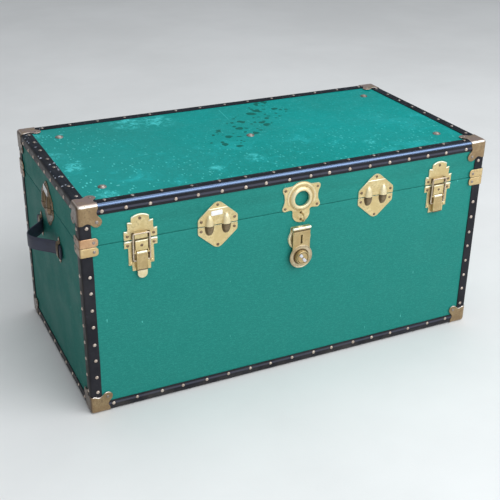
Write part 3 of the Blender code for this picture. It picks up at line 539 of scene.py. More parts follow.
STUD_WASHER = old_metal(
    "stud_washer", paint(160, 150, 142), paint(118, 106, 96), paint(66, 54, 46), 0.5, (0.35, 0.6), 0.8
)
RUST = old_metal(
    "stud_rust", paint(196, 184, 172), paint(146, 132, 120), paint(92, 70, 58), 0.5, (0.35, 0.6), 0.9
)
STRAP = strap_leather("strap_outside", paint(48, 50, 64), paint(62, 64, 80))
STRAP_INSIDE = strap_leather("strap_inside", paint(16, 16, 19), paint(28, 28, 32))
LINING = lining_paper("lining_paper")
LABEL = label_paper("blank_label")


# ------------------------------------------------------------- shape helpers
def arc(centre, radius, first, last, steps):
    """Points on an arc, with angles in degrees."""
    points = []
    for i in range(steps + 1):
        angle = math.radians(first + (last - first) * i / steps)
        points.append((centre[0] + radius * math.cos(angle), centre[1] + radius * math.sin(angle)))
    return points


def mirrored(half):
    """Complete a right-hand half outline, listed top to bottom, about x = 0."""
    return half + [(-x, y) for x, y in reversed(half) if x > 1e-9]


def kinks(outline):
    """The corners of a closed outline, as opposed to the points along its arcs."""
    found = []
    for i in range(len(outline)):
        before = Vector(outline[i]) - Vector(outline[i - 1])
        after = Vector(outline[(i + 1) % len(outline)]) - Vector(outline[i])
        if before.length > 1e-9 and after.length > 1e-9 and before.angle(after) > math.radians(24.0):
            found.append(i)
    return found


def eased(outline, radius, corners, steps=3):
    """Round the listed corners of a closed outline, as far as their sides allow."""
    points = []
    count = len(outline)
    for i in range(count):
        corner = Vector(outline[i])
        if i not in corners:
            points.append(tuple(corner))
            continue
        before = Vector(outline[i - 1]) - corner
        after = Vector(outline[(i + 1) % count]) - corner
        start = corner + before.normalized() * min(radius, before.length * 0.45)
        end = corner + after.normalized() * min(radius, after.length * 0.45)
        for step in range(steps + 1):
            t = step / steps
            points.append(tuple(start * (1 - t) ** 2 + corner * 2 * t * (1 - t) + end * t ** 2))
    return points


def rounded(outline, radius, steps=4):
    return eased(outline, radius, kinks(outline), steps)


def inset(outline, distance):
    """Move every side of a closed outline inwards by a distance."""
    area = sum(a[0] * b[1] - b[0] * a[1] for a, b in zip(outline, outline[1:] + outline[:1]))
    turn = 1.0 if area > 0.0 else -1.0
    points = []
    count = len(outline)
    for i in range(count):
        before = (Vector(outline[i]) - Vector(outline[i - 1])).normalized()
        after = (Vector(outline[(i + 1) % count]) - Vector(outline[i])).normalized()
        first = Vector((-before.y, before.x)) * turn
        second = Vector((-after.y, after.x)) * turn
        middle = first + second
        if middle.length < 1e-6:
            middle = first
        middle.normalize()
        reach = distance / max(middle.dot(first), 0.5)
        points.append((outline[i][0] + middle.x * reach, outline[i][1] + middle.y * reach))
    return points


def bridge(shape, first, second):
    """Join two rings of vertices of equal length with faces."""
    faces = []
    for i in range(len(first)):
        j = (i + 1) % len(first)
        faces.append(shape.faces.new((first[i], first[j], second[j], second[i])))
    return faces


def fill_rows(shape, rows):
    """Join neighbouring rows of vertices with faces, listed row by row."""
    faces = []
    for first, second in zip(rows, rows[1:]):
        faces.append([
            shape.faces.new((first[i], first[i + 1], second[i + 1], second[i])) for i in range(len(first) - 1)
        ])
    return faces


def stacked(layers):
    """A closed shape through outlines at rising heights: (outline, height) pairs."""
    shape = bmesh.new()
    rings = []
    for outline, height in layers:
        rings.append([shape.verts.new((x, y, height)) for x, y in outline])
    shape.faces.new(list(reversed(rings[0])))
    for first, second in zip(rings, rings[1:]):
        bridge(shape, first, second)
    shape.faces.new(rings[-1])
    return shape


def plate(outline, base=GAP, thick=SHEET, corner=0.0012, rim=RIM, rolled=0.0004):
    """A pressed plate with eased corners and a soft, slightly rolled rim."""
    top = base + thick
    corners = kinks(outline)
    layers = []
    for distance, height in (
        (0.0, base), (0.0, top - 0.0005), (0.25, top + rolled * 0.7), (0.55, top + rolled),
        (1.0, top + rolled * 0.4), (1.35, top),
    ):
        layers.append((eased(inset(outline, rim * distance), corner, corners), height))
    return stacked(layers)


def slab(outline, low, high, soft=0.0004):
    """A flat shape with softened front edges."""
    layers = [
        (outline, low), (outline, high - soft), (inset(outline, soft * 0.3), high - soft * 0.3),
        (inset(outline, soft), high),
    ]
    return stacked(layers)


def bar(outline, low, high, soft=0.0):
    """A shape drawn in (y, z) and run along x, with softened ends."""
    layers = [(outline, low), (outline, high)]
    if soft > 0.0:
        tip = inset(outline, soft)
        layers = [(tip, low), (outline, low + soft), (outline, high - soft), (tip, high)]
    shape = stacked(layers)
    along_x = Matrix(((0, 0, 1, 0), (1, 0, 0, 0), (0, 1, 0, 0), (0, 0, 0, 1)))
    bmesh.ops.transform(shape, verts=shape.verts, matrix=along_x)
    return shape


def turned(profile, steps=24, closed=False):
    """Turn a (radius, out) profile about z."""
    shape = bmesh.new()
    rings = []
    for radius, out in profile:
        if radius < 1e-9:
            rings.append([shape.verts.new((0.0, 0.0, out))])
        else:
            circle = arc((0.0, 0.0), radius, 0.0, 360.0, steps)[:-1]
            rings.append([shape.verts.new((x, y, out)) for x, y in circle])
    pairs = list(zip(rings, rings[1:]))
    if closed:
        pairs.append((rings[-1], rings[0]))
    for first, second in pairs:
        for i in range(steps):
            j = (i + 1) % steps
            corners = [first[k % len(first)] for k in (i, j)] + [second[k % len(second)] for k in (j, i)]
            corners = list(dict.fromkeys(corners))
            if len(corners) > 2:
                shape.faces.new(corners)
    return shape


def drill(radius, low, high, steps):
    """A solid cylinder about z, for cutting a round hole."""
    return turned([(0.0, low), (radius, low), (radius, high), (0.0, high)], steps)


def box_between(low, high):
    low = Vector(low)
    high = Vector(high)
    shape = bmesh.new()
    bmesh.ops.create_cube(shape, size=1.0)
    for vertex in shape.verts:
        vertex.co = Vector((low[i] + high[i]) / 2.0 + vertex.co[i] * (high[i] - low[i]) for i in range(3))
    return shape


def block(low, high, radius, segments=3):
    """A box with rounded edges."""
    shape = box_between(low, high)
    bmesh.ops.bevel(
        shape, geom=shape.edges[:], offset=radius, segments=segments, affect="EDGES", clamp_overlap=True
    )
    return shape


def tube(path, radius, sides=12):
    """A round wire along a path, with rounded ends."""
    path = [Vector(p) for p in path]
    shape = bmesh.new()
    rings = []
    side = None
    for i, point in enumerate(path):
        before = path[max(i - 1, 0)]
        after = path[min(i + 1, len(path) - 1)]
        along = (after - before).normalized()
        if side is None:
            side = along.orthogonal().normalized()
        side = (side - along * side.dot(along)).normalized()
        up = along.cross(side)
        ring = []
        for j in range(sides):
            angle = 2.0 * math.pi * j / sides
            ring.append(shape.verts.new(point + (side * math.cos(angle) + up * math.sin(angle)) * radius))
        rings.append(ring)
    for first, second in zip(rings, rings[1:]):
        bridge(shape, first, second)
    for ring, inner, end in ((rings[0], path[1], path[0]), (rings[-1], path[-2], path[-1])):
        away = (end - inner).normalized()
        tip = [shape.verts.new(end + (v.co - end) * 0.6 + away * radius * 0.5) for v in ring]
        bridge(shape, ring, tip)
        shape.faces.new(tip)
    return shape


def rod(low, high, y, z, radius, sides):
    """A round bar along x, between two values of x."""
    return tube([(x, y, z) for x in (low, (low + high) / 2.0, high)], radius, sides)


def smooth_path(corners, radius, steps=6):
    """Points through the corners of a path, with each inner corner rounded."""
    points = [Vector(corners[0])]
    for before, corner, after in zip(corners, corners[1:], corners[2:]):
        corner = Vector(corner)
        start = corner + (Vector(before) - corner).normalized() * radius
        end = corner + (Vector(after) - corner).normalized() * radius
        for i in range(steps + 1):
            t = i / steps
            points.append(start * (1 - t) ** 2 + corner * 2 * t * (1 - t) + end * t ** 2)
    points.append(Vector(corners[-1]))
    return points


def sheet(rows):
    """An open grid surface through rows of points."""
    shape = bmesh.new()
    fill_rows(shape, [[shape.verts.new(p) for p in row] for row in rows])
    return shape


def faced(shape, outward):
    """Turn a sheet's faces over if their normals, added up, point away from a direction."""
    shape.normal_update()
    if sum(face.normal.dot(outward) for face in shape.faces) < 0.0:
        bmesh.ops.reverse_faces(shape, faces=shape.faces)
    return shape


def swung(shape, degrees, axis):
    bmesh.ops.rotate(shape, verts=shape.verts, matrix=Matrix.Rotation(math.radians(degrees), 3, axis))
    return shape


def slid(shape, x, y, z):
    bmesh.ops.translate(shape, verts=shape.verts, vec=(x, y, z))
    return shape


def raw_mesh(shape):
    """A mesh with the shape's faces as they are. It uses the shape up."""
    mesh = bpy.data.meshes.new("shape")
    shape.to_mesh(mesh)
    shape.free()
    return mesh


def to_mesh(shape):
    bmesh.ops.recalc_face_normals(shape, faces=shape.faces)
    return raw_mesh(shape)


def from_mesh(mesh):
    shape = bmesh.new()
    shape.from_mesh(mesh)
    return shape


def thickened(mesh, thickness, offset=-1.0):
    """The mesh of a sheet given a thickness, inwards unless an offset says otherwise."""
    return with_modifier(mesh, "SOLIDIFY", thickness=thickness, offset=offset)


def with_modifier(mesh, kind, **settings):
    """The mesh that a modifier makes of this one."""
    holder = bpy.data.objects.new("holder", mesh)
    bpy.context.scene.collection.objects.link(holder)
    modifier = holder.modifiers.new("modifier", kind)
    for key, value in settings.items():
        setattr(modifier, key, value)
    bpy.context.view_layer.update()
    result = bpy.data.meshes.new_from_object(holder.evaluated_get(bpy.context.evaluated_depsgraph_get()))
    bpy.data.objects.remove(holder, do_unlink=True)
    return result


def cut_out(shape, *cutters):
    mesh = to_mesh(shape)
    for cutter in cutters:
        tool = bpy.data.objects.new("tool", to_mesh(cutter))
        bpy.context.scene.collection.objects.link(tool)
        mesh = with_modifier(mesh, "BOOLEAN", operation="DIFFERENCE", solver="EXACT", object=tool)
        bpy.data.objects.remove(tool, do_unlink=True)
    return from_mesh(mesh)


class Piece:
    """One visible piece: shapes, each with its own material, joined in one object."""

    def __init__(self, name):
        self.name = name
        self.shape = bmesh.new()
        self.materials = []

    def add(self, shape, material, place=None, rim=None, rim_slope=0.80, second=None):
        """Add a shape. Sloping faces take the rim material, and marked faces the second, if given."""
        mesh = to_mesh(shape)
        if second is not None:
            rim = second
        elif rim is not None:
            for polygon in mesh.polygons:
                polygon.material_index = 1 if -0.2 < polygon.normal.z < rim_slope else 0
        if place is not None:
            mesh.transform(place)
            if place.determinant() < 0.0:
                mesh.flip_normals()
        start = len(self.shape.faces)
        self.shape.from_mesh(mesh)
        self.shape.faces.ensure_lookup_table()
        for face in self.shape.faces[start:]:
            used = rim if rim is not None and face.material_index == 1 else material
            if used not in self.materials:
                self.materials.append(used)
            face.material_index = self.materials.index(used)
        return self

    def finish(self, body, slot, nodes=()):
        mesh = bpy.data.meshes.new(self.name)
        self.shape.to_mesh(mesh)
        self.shape.free()
        for material in self.materials:
            mesh.materials.append(material)
        mesh.shade_smooth()
        mesh.set_sharp_from_angle(angle=math.radians(SHARP_ANGLE))
        item = bpy.data.objects.new(self.name, mesh)
        bpy.context.scene.collection.objects.link(item)
        if body:
            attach(item, body)
        if nodes:
            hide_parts(*nodes)
        return item


def on_face(point, out, up=Z_AXIS):
    """Place a flat drawing with its origin at a point, z along out and y along up."""
    out = Vector(out)
    up = Vector(up)
    right = up.cross(out)
    place = Matrix((right, up, out)).transposed().to_4x4()
    place.translation = Vector(point)
    return place


def shifted(place, x, y, z=0.0):
    return place @ Matrix.Translation((x, y, z))


# ------------------------------------------------------------- rivets and studs
def rivet_head(radius, height):
    dimple = radius * 0.16
    return turned([
        (radius, -0.0006), (radius, height * 0.10), (radius * 0.93, height * 0.42),
        (radius * 0.76, height * 0.74),
        (radius * 0.50, height * 0.94), (radius * 0.26, height), (dimple, height * 0.93),
        (0.0, height * 0.84),
    ], 18)


def add_rivet(piece, place, chance, radius=RIVET_RADIUS, height=RIVET_HEIGHT, material=None):
    """One hand-set rivet head, a little off size, off place and off square."""
    size = radius * chance.uniform(0.94, 1.05)
    tilt = Matrix.Rotation(math.radians(chance.uniform(-RIVET_TILT, RIVET_TILT)), 4, "X")
    tilt = tilt @ Matrix.Rotation(math.radians(chance.uniform(-RIVET_TILT, RIVET_TILT)), 4, "Y")
    piece.add(rivet_head(size, height * chance.uniform(0.92, 1.08)), material or RIVET, place @ tilt)


def plate_rivets(piece, place, spots, chance, base=GAP + SHEET):
    for x, y in spots:
        add_rivet(piece, shifted(place, x, y, base), chance, *HARDWARE_RIVET, RIVET_DARK)


# ------------------------------------------------------------- the panels
def grid_lines(low, high, spacing, edge):
    """Positions across a panel, closer together at its rounded rims."""
    lines = [low, low + edge * 0.25, low + edge * 0.6, low + edge]
    count = max(2, int((high - low) / spacing))
    lines += [low + edge + (high - low - 2.0 * edge) * i / count for i in range(1, count)]
    lines += [high - edge, high - edge * 0.6, high - edge * 0.25, high]
    return lines


def panel_shape(width, height, thick, seed, seam=None, edge=0.0016, swell=0.00028):
    """A covered board, with a slightly uneven face and rounded rims. Its back is at z = 0.

    A seam is a height above the lower rim where one sheet of fibre laps over the next.
    """
    across = grid_lines(-width / 2.0, width / 2.0, PANEL_GRID, edge)
    upward = grid_lines(-height / 2.0, height / 2.0, PANEL_GRID, edge)
    lap = -height
    if seam is not None:
        lap = seam - height / 2.0
        upward = sorted([y for y in upward if abs(y - lap) > 0.003] + [lap - 0.0005, lap + 0.0005])
    shape = bmesh.new()
    grid = []
    for y in upward:
        row = []
        for x in across:
            near = min(width / 2.0 - abs(x), height / 2.0 - abs(y), edge)
            drop = edge - math.sqrt(max(edge ** 2 - (edge - near) ** 2, 0.0))
            wave = noise.noise(Vector((x * 7.0, y * 7.0, seed)))
            wave += 0.4 * noise.noise(Vector((x * 30.0, y * 30.0, seed)))
            under = LAP_STEP if lap - LAP_REACH < y < lap else 0.0
            row.append(shape.verts.new((x, y, thick - drop + swell * wave * near / edge - swell - under)))
        grid.append(row)
    fill_rows(shape, grid)
    border = grid[0] + [row[-1] for row in grid[1:]] + grid[-1][-2::-1] + [row[0] for row in grid[-2:0:-1]]
    foot = [shape.verts.new((v.co.x, v.co.y, 0.0)) for v in border]
    bridge(shape, border, foot)
    shape.faces.new(foot)
    return shape


def make_panel(node, body, out, up, material, seed, hole=None, seam=None):
    low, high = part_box(node)
    centre = (low + high) / 2.0
    size = high - low
    out = Vector(out)
    up = Vector(up)
    right = up.cross(out)
    width = abs(right.dot(size))
    height = abs(up.dot(size))
    thick = abs(out.dot(size))
    shape = panel_shape(width, height, thick, seed, seam)
    place = on_face(centre - out * thick / 2.0, out, up)
    if hole is not None:
        offset = place.inverted() @ hole["point"]
        recess = drill(hole["radius"], hole["floor"], 0.02, 48)
        shape = cut_out(shape, slid(recess, offset.x, offset.y, 0.0))
    Piece("fine_" + node).add(shape, material, place).finish(body, "green_fibre", [node])


def make_panels():
    ring = Vector((middle_of("lock_plate").x, FRONT_Y, PARTING_Z + RING_Y))
    lock_hole = {"point": ring, "radius": RING_HOLE + RECESS_CLEAR, "floor": PANEL - RECESS_DEPTH}
    make_panel("body_front_panel", "case", FRONT, Z_AXIS, GREEN_FRONT, 1.3)
    make_panel("lid_front_panel", "lid", FRONT, Z_AXIS, GREEN_FRONT, 5.1, lock_hole, SEAM)
    make_panel("body_back_panel", "case", REAR, Z_AXIS, GREEN_FRONT, 9.7)
    make_panel("lid_back_panel", "lid", REAR, Z_AXIS, GREEN_FRONT, 12.2)
    make_panel("body_left_panel", "case", LEFT, Z_AXIS, GREEN_END_SHADED, 17.9)
    make_panel("lid_left_panel", "lid", LEFT, Z_AXIS, GREEN_END_SHADED, 21.4)
    make_panel("body_right_panel", "case", RIGHT, Z_AXIS, GREEN_END_SHADED, 25.5)
    make_panel("lid_right_panel", "lid", RIGHT, Z_AXIS, GREEN_END_SHADED, 29.8)
    make_panel("lid_top_panel", "lid", Z_AXIS, Y_AXIS, GREEN_TOP, 33.3)
    make_panel("base_panel", "case", -Z_AXIS, Y_AXIS, GREEN_END_SHADED, 37.6)


def lining_shape(low, high, open_top):
    """A thin open box of paper, with rounded inner corners."""
    shape = box_between(low, high)
    wanted = 1.0 if open_top else -1.0
    shape.normal_update()
    for face in list(shape.faces):
        if face.normal.z * wanted > 0.9:
            bmesh.ops.delete(shape, geom=[face], context="FACES_ONLY")
    edges = [e for e in shape.edges if len(e.link_faces) == 2]
    bmesh.ops.bevel(shape, geom=edges, offset=LINING_ROUND, segments=4, affect="EDGES", clamp_overlap=True)
    return from_mesh(thickened(to_mesh(shape), LINING_THICK, 0.0))


def make_lining():
    inset_by = PANEL + LINING_GAP
    for body, low_z, high_z, open_top in (
        ("case", BOTTOM_Z + inset_by, BODY_TOP_Z - LINING_SHORT, True),
        ("lid", LID_LOW_Z + LINING_SHORT, TOP_Z - inset_by, False),
    ):
        low = Vector((LEFT_X + inset_by, FRONT_Y + inset_by, low_z))
        high = Vector((RIGHT_X - inset_by, REAR_Y - inset_by, high_z))
        Piece(body + "_lining").add(lining_shape(low, high, open_top), LINING).finish(body, "green_fibre")


# ------------------------------------------------------------- the bindings
def binding_profile(ribbed, width):
    """Half of an angle strip's section: (beyond the corner, along the flange) pairs."""
    out = GAP + BINDING
    flange = [(GAP, -width), (out - 0.0005, -width), (out - 0.0001, -width + 0.0004), (out, -width + 0.0012)]
    if ribbed:
        rib = out - RIVET_IN
        flange += [(out, rib - 0.0026), (out + 0.0006, rib - 0.0006)]
        flange += [(out + 0.0006, rib + 0.0004), (out, rib + 0.0036)]
    flange += [(out + 0.0001, -0.0090), (out, out - BINDING_ROUND)]
    return flange


def binding_section(ribbed):
    out = GAP + BINDING
    first = binding_profile(ribbed, SIDE_WIDTH if ribbed else BINDING_WIDTH)
    second = binding_profile(ribbed, BINDING_WIDTH)
    round_off = arc((out - BINDING_ROUND, out - BINDING_ROUND), BINDING_ROUND, 0.0, 90.0, 8)[1:-1]
    return first + round_off + [(b, a) for a, b in reversed(second)] + [(-0.0008, -0.0008)]


STRIP_GRID = 0.012
STRIP_SWAY = 0.00016
STRIP_WAVE = 0.0005


def strip_shape(start, end, first, second, ribbed, seed):
    """An angle strip along a case edge, lying on the faces with normals first and second."""
    start = Vector(start)
    end = Vector(end)
    section = binding_section(ribbed)
    length = (end - start).length
    count = max(2, int(length / STRIP_GRID))
    shape = bmesh.new()
    rings = []
    for i in range(count + 1):
        along = start.lerp(end, i / count)
        sway_a = STRIP_SWAY * noise.noise(Vector((i * 0.37, seed, 0.0)))
        sway_b = STRIP_SWAY * noise.noise(Vector((i * 0.37, seed, 9.0)))
        edge_wave = STRIP_WAVE * noise.noise(Vector((i * 0.21, seed, 21.0)))
        ring = []
        for a, b in section:
            grow_a = sway_a if a > GAP * 2.0 else 0.0
            grow_b = sway_b if b > GAP * 2.0 else 0.0
            a_edge = edge_wave if a < -0.018 else 0.0
            b_edge = edge_wave if b < -0.018 else 0.0
            aside = first * (a + grow_a + a_edge)
            ring.append(shape.verts.new(along + aside + second * (b + grow_b + b_edge)))
        rings.append(ring)
    for one, two in zip(rings, rings[1:]):
        bridge(shape, one, two)
    shape.faces.new(rings[0])
    shape.faces.new(list(reversed(rings[-1])))
    for face in shape.faces:
        middle = face.calc_center_median() - start
        if middle.dot(first) > -BINDING_ROUND and middle.dot(second) > -BINDING_ROUND:
            face.material_index = 1
    return shape


# how far hand-set rivets stray: along a strip, across it, and up a post
STRAY_ALONG = 0.0028
STRAY_ACROSS = 0.0007
STRAY_UP = 0.0025


def rivet_row(piece, corner_start, corner_end, out, back, inwards, count, ends, chance):
    """Rivets along one flange: out is the face's normal, back runs from the edge onto the face."""
    start = Vector(corner_start)
    end = Vector(corner_end)
    along = (end - start).normalized()
    first = start + along * ends[0]
    last = end - along * ends[1]
    for i in range(count):
        share = i / (count - 1) if count > 1 else 0.5
        point = first.lerp(last, share) + along * chance.uniform(-STRAY_ALONG, STRAY_ALONG)
        point += back * (inwards - GAP - BINDING + chance.uniform(-STRAY_ACROSS, STRAY_ACROSS))
        point += out * (GAP + BINDING + 0.0004)
        # those under the trunk are low, so that they stay clear of the ground
        height = RIVET_HEIGHT if out.z > -0.5 else LOW_RIVET_HEIGHT
        material = RIVET_DULL if abs(out.z) > 0.5 else RIVET
        add_rivet(piece, on_face(point, out, along), chance, RIVET_RADIUS, height, material)


# from each end of an edge to the first and last rivet of a row
SIDE_ROW_ENDS = (0.0440, 0.0530)
FLAT_ROW_ENDS = (0.0520, 0.0460)


def make_ring(body, z, vertical, node, counts, seed):
    """The four horizontal strips at the lid's top or the body's foot, with their rivets."""
    chance = random.Random(seed)
    corners = {
        "front": ((LEFT_X, FRONT_Y), (RIGHT_X, FRONT_Y), FRONT),
        "rear": ((LEFT_X, REAR_Y), (RIGHT_X, REAR_Y), REAR),
        "left": ((LEFT_X, FRONT_Y), (LEFT_X, REAR_Y), LEFT),
        "right": ((RIGHT_X, FRONT_Y), (RIGHT_X, REAR_Y), RIGHT),
    }
    rivets = Piece(body + "_edge_rivets")
    for number, (side, (start, end, out)) in enumerate(corners.items()):
        start = Vector((*start, z))
        end = Vector((*end, z))
        along = (end - start).normalized()
        first = start + along * STRIP_START
        last = end - along * STRIP_START
        strip = strip_shape(first, last, out, vertical, True, seed + number * 7.7)
        name = body + "_binding_" + side
        shiny = BLACK_EDGE if name == "lid_binding_front" else BLACK
        Piece(name).add(strip, BLACK, second=shiny).finish(body, "black_fibre", [node])
        side_count, flat_count = counts[side]
        rivet_row(rivets, start, end, out, -vertical, RIVET_IN, side_count, SIDE_ROW_ENDS, chance)
        rivet_row(rivets, start, end, vertical, -out, RIVET_IN, flat_count, FLAT_ROW_ENDS, chance)
    rivets.finish(body, "steel_wire")


def make_posts(body, low_z, high_z, node, heights, seed):
    """The four upright strips of the lid or the body, with their rivets."""
    chance = random.Random(seed)
    rivets = Piece(body + "_post_rivets")
    for name, x, x_out, y, y_out in CORNERS:
        start = Vector((x, y, low_z))
        end = Vector((x, y, high_z))
        strip = strip_shape(start, end, x_out, y_out, False, seed + x * 40.0 + y * 90.0)
        Piece(body + "_post_" + name).add(strip, BLACK).finish(body, "black_fibre", [node])
        for out, back in ((x_out, -y_out), (y_out, -x_out)):
            for height in heights:
                point = Vector((x, y, height + chance.uniform(-STRAY_UP, STRAY_UP)))
                point += back * (POST_RIVET_IN - GAP - BINDING) + out * (GAP + BINDING)
                add_rivet(rivets, on_face(point, out), chance)
    rivets.finish(body, "steel_wire")


POST_RIVET_DOWN = 0.0475
POST_FIRST = 0.059
POST_PITCH = 0.0372
POST_RIVETS = 8


def make_bindings():
    lid_counts = {"front": (18, 15), "rear": (17, 14), "left": (9, 8), "right": (9, 8)}
    body_counts = {"front": (17, 15), "rear": (17, 15), "left": (9, 8), "right": (9, 8)}
    make_ring("lid", TOP_Z, Z_AXIS, "lid_edge_binding", lid_counts, 11)
    make_ring("case", BOTTOM_Z, -Z_AXIS, "body_edge_binding", body_counts, 29)
    lid_heights = [TOP_Z + PROUD - POST_RIVET_DOWN]
    body_heights = [PARTING_Z - POST_FIRST - POST_PITCH * i for i in range(POST_RIVETS)]
    make_posts("lid", LID_LOW_Z, TOP_Z - STRIP_START, "lid_edge_binding", lid_heights, 43)
    make_posts("case", BOTTOM_Z + STRIP_START, BODY_TOP_Z, "body_edge_binding", body_heights, 57)


# ------------------------------------------------------------- corner caps
CAP_ARM = 0.0365
CAP_ROUND = 0.0074
CAP_EAR = 0.0325
CAP_EAR_RADIUS = 0.0105
CAP_RIVET = (0.0034, 0.0015)
CAP_SINK = 0.0009
CAP_RIPPLE = 0.00022


def cap_edge():
    """The free edge of one face of a cap, from one fold to the other, with its ear."""
    low = [(CAP_ARM, -PROUD + rise) for rise in (0.0, 0.0010, 0.0022, 0.0036)]
    low += [(CAP_ARM, 0.0022), (CAP_ARM + 0.0003, 0.0048), (CAP_ARM - 0.0004, 0.0078), (0.0345, 0.0110)]
    low += [(0.0336, 0.0145), (0.0342, 0.0178), (0.0362, 0.0208)]
    ear = arc((CAP_EAR, CAP_EAR), CAP_EAR_RADIUS, -52.0, 142.0, 22)
    return low + ear + [(b, a) for a, b in reversed(low)]


def cap_shape(side_x, side_y, side_z, seed):
    """A pressed three-sided cap: three flat faces wrapped over a rounded corner."""
    edge = cap_edge()
    corner = Vector((-PROUD, -PROUD))
    levels = [0.0, 0.05, 0.10, 0.16, 0.24, 0.34, 0.46, 0.58, 0.70, 0.82, 0.91, 0.955, 0.98, 1.0]
    shape = bmesh.new()
    known = {}

    def vertex(point):
        key = tuple(round(value, 7) for value in point)
        if key not in known:
            known[key] = shape.verts.new(point)
        return known[key]

    inner = -PROUD + CAP_ROUND
    for face in range(3):
        rows = []
        for level in levels:
            row = []
            for spot in edge:
                flat = corner + (Vector(spot) - corner) * level
                sink = 0.0 if level < 0.975 else CAP_SINK * (level - 0.975) / 0.025
                ripple = CAP_RIPPLE * noise.noise(Vector((flat.x * 90.0, flat.y * 90.0, seed + face)))
                fold = min(flat.x + PROUD, flat.y + PROUD)
                ripple *= min(1.0, fold / 0.006)
                point = [0.0, 0.0, 0.0]
                point[face] = -PROUD
                point[(face + 1) % 3] = flat.x
                point[(face + 2) % 3] = flat.y
                point = Vector(point)
                core = Vector(max(value, inner) for value in point)
                away = point - core
                if away.length > 1e-9:
                    point = core + away.normalized() * CAP_ROUND
                pushed = point.copy()
                pushed[face] += (sink - ripple) if fold > 0.004 else 0.0
                row.append(vertex(tuple(pushed)))
            rows.append(row)
        for first, second in zip(rows, rows[1:]):
            for i in range(len(first) - 1):
                corners = list(dict.fromkeys((first[i], first[i + 1], second[i + 1], second[i])))
                if len(corners) > 2:
                    shape.faces.new(corners)
    bmesh.ops.recalc_face_normals(shape, faces=shape.faces)
    probe = max(shape.faces, key=lambda f: f.calc_area())
    if probe.normal.dot(probe.calc_center_median() - Vector((0.02, 0.02, 0.02))) < 0.0:
        bmesh.ops.reverse_faces(shape, faces=shape.faces)
    mesh = thickened(raw_mesh(shape), STAMPED)
    mesh.transform(Matrix.Diagonal((-side_x, -side_y, -side_z, 1.0)))
    return from_mesh(mesh)


def make_caps():
    chance = random.Random(71)
    for body, prefix, z, side_z in (("lid", "lid_cap_", TOP_Z, 1), ("case", "body_cap_", BOTTOM_Z, -1)):
        for name, x, x_out, y, y_out in CORNERS:
            node = prefix + name
            corner = Vector((x, y, z))
            piece = Piece("fine_" + node)
            shape = cap_shape(x_out.x, y_out.y, side_z, chance.uniform(0.0, 50.0))
            piece.add(shape, BRONZE, Matrix.Translation(corner))
            inward = Vector((-x_out.x, -y_out.y, -side_z))
            for axis in range(3):
                out = Vector((0.0, 0.0, 0.0))
                out[axis] = -inward[axis]
                point = corner + inward * CAP_EAR
                point[axis] = corner[axis] + out[axis] * (PROUD - 0.0002)
                up = Y_AXIS if axis == 2 else Z_AXIS
                # a rivet under the trunk would stand through the ground
                if out.z > -0.5:
                    add_rivet(piece, on_face(point, out, up), chance, *CAP_RIVET, RIVET_DULL)
            piece.finish(body, "aged_bronze", [node])


# ------------------------------------------------------------- edge clamps
CLAMP_WIDTH = 0.033
CLAMP_ROUND = 0.0042
CLAMP_TAB = 0.0070
CLAMP_RIVET_IN = 0.0245
CLAMP_RIVET = (0.0033, 0.0014)
CLAMP_SINK = 0.0007
CLAMP_RIPPLE = 0.00015
COPPER_CLAMPS = ("lid_clamp_front_left", "lid_clamp_rear_right", "body_clamp_rear_left")


def clamp_point(along, out):
    """A point on a sheet wrapped round the corner: (x inwards, y inwards), at -out beyond the panel."""
    turn = out + CLAMP_ROUND - PROUD
    quarter = CLAMP_ROUND * math.pi / 2.0
    centre = CLAMP_ROUND - PROUD
    if along < -quarter / 2.0:
        return (-out, centre + (-along - quarter / 2.0))
    if along > quarter / 2.0:
        return (centre + (along - quarter / 2.0), -out)
    angle = (along + quarter / 2.0) / CLAMP_ROUND
    return (centre - turn * math.cos(angle), centre - turn * math.sin(angle))


def clamp_shape(side_x, side_y, low, high, seed):
    reach = CLAMP_WIDTH + PROUD - CLAMP_ROUND + CLAMP_ROUND * math.pi / 4.0
    middle = (low + high) / 2.0
    half = (high - low) / 2.0
    half_run = [0.0, 0.0008, 0.0016, 0.0025, 0.0034, 0.0045, 0.008, 0.013, 0.018]
    half_run += [reach - CLAMP_TAB * share for share in (1.0, 0.8, 0.6, 0.42, 0.28, 0.16, 0.08, 0.03, 0.0)]
    run = [-value for value in reversed(half_run[1:])] + half_run
    rows = []
    for share in (-1.0, -0.975, -0.90, -0.6, -0.2, 0.2, 0.6, 0.90, 0.975, 1.0):
        row = []
        for along in run:
            into = max(0.0, abs(along) - (reach - CLAMP_TAB)) / CLAMP_TAB
            tall = half - CLAMP_TAB * 0.95 * (1.0 - math.sqrt(max(0.0, 1.0 - into ** 2)))
            rim = max(abs(share), into if into > 0.9 else 0.0)
            sink = 0.0 if rim < 0.95 else CLAMP_SINK * (rim - 0.95) / 0.05
            ripple = CLAMP_RIPPLE * noise.noise(Vector((along * 80.0, share * 2.0, seed)))
            x, y = clamp_point(along, PROUD - sink + ripple)
            row.append(Vector((-side_x * x, -side_y * y, middle + tall * share)))
        rows.append(row)
    shape = faced(sheet(rows), Vector((side_x, side_y, 0.0)))
    return from_mesh(thickened(raw_mesh(shape), STAMPED))


def make_clamps():
    chance = random.Random(83)
    for body, prefix in (("lid", "lid_clamp_"), ("case", "body_clamp_")):
        for name, x, x_out, y, y_out in CORNERS:
            node = prefix + name
            low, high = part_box(node)
            copper = node in COPPER_CLAMPS
            piece = Piece("fine_" + node)
            shape = clamp_shape(x_out.x, y_out.y, low.z, high.z, chance.uniform(0.0, 50.0))
            piece.add(shape, COPPER if copper else CLAMP_BRASS, Matrix.Translation((x, y, 0.0)))
            middle = Vector((x, y, (low.z + high.z) / 2.0))
            for out, back in ((y_out, -x_out), (x_out, -y_out)):
                point = middle + back * CLAMP_RIVET_IN + out * (PROUD - 0.0002)
                add_rivet(piece, on_face(point, out), chance, *CLAMP_RIVET, RIVET_DULL)
            piece.finish(body, "aged_bronze" if copper else "brass", [node])


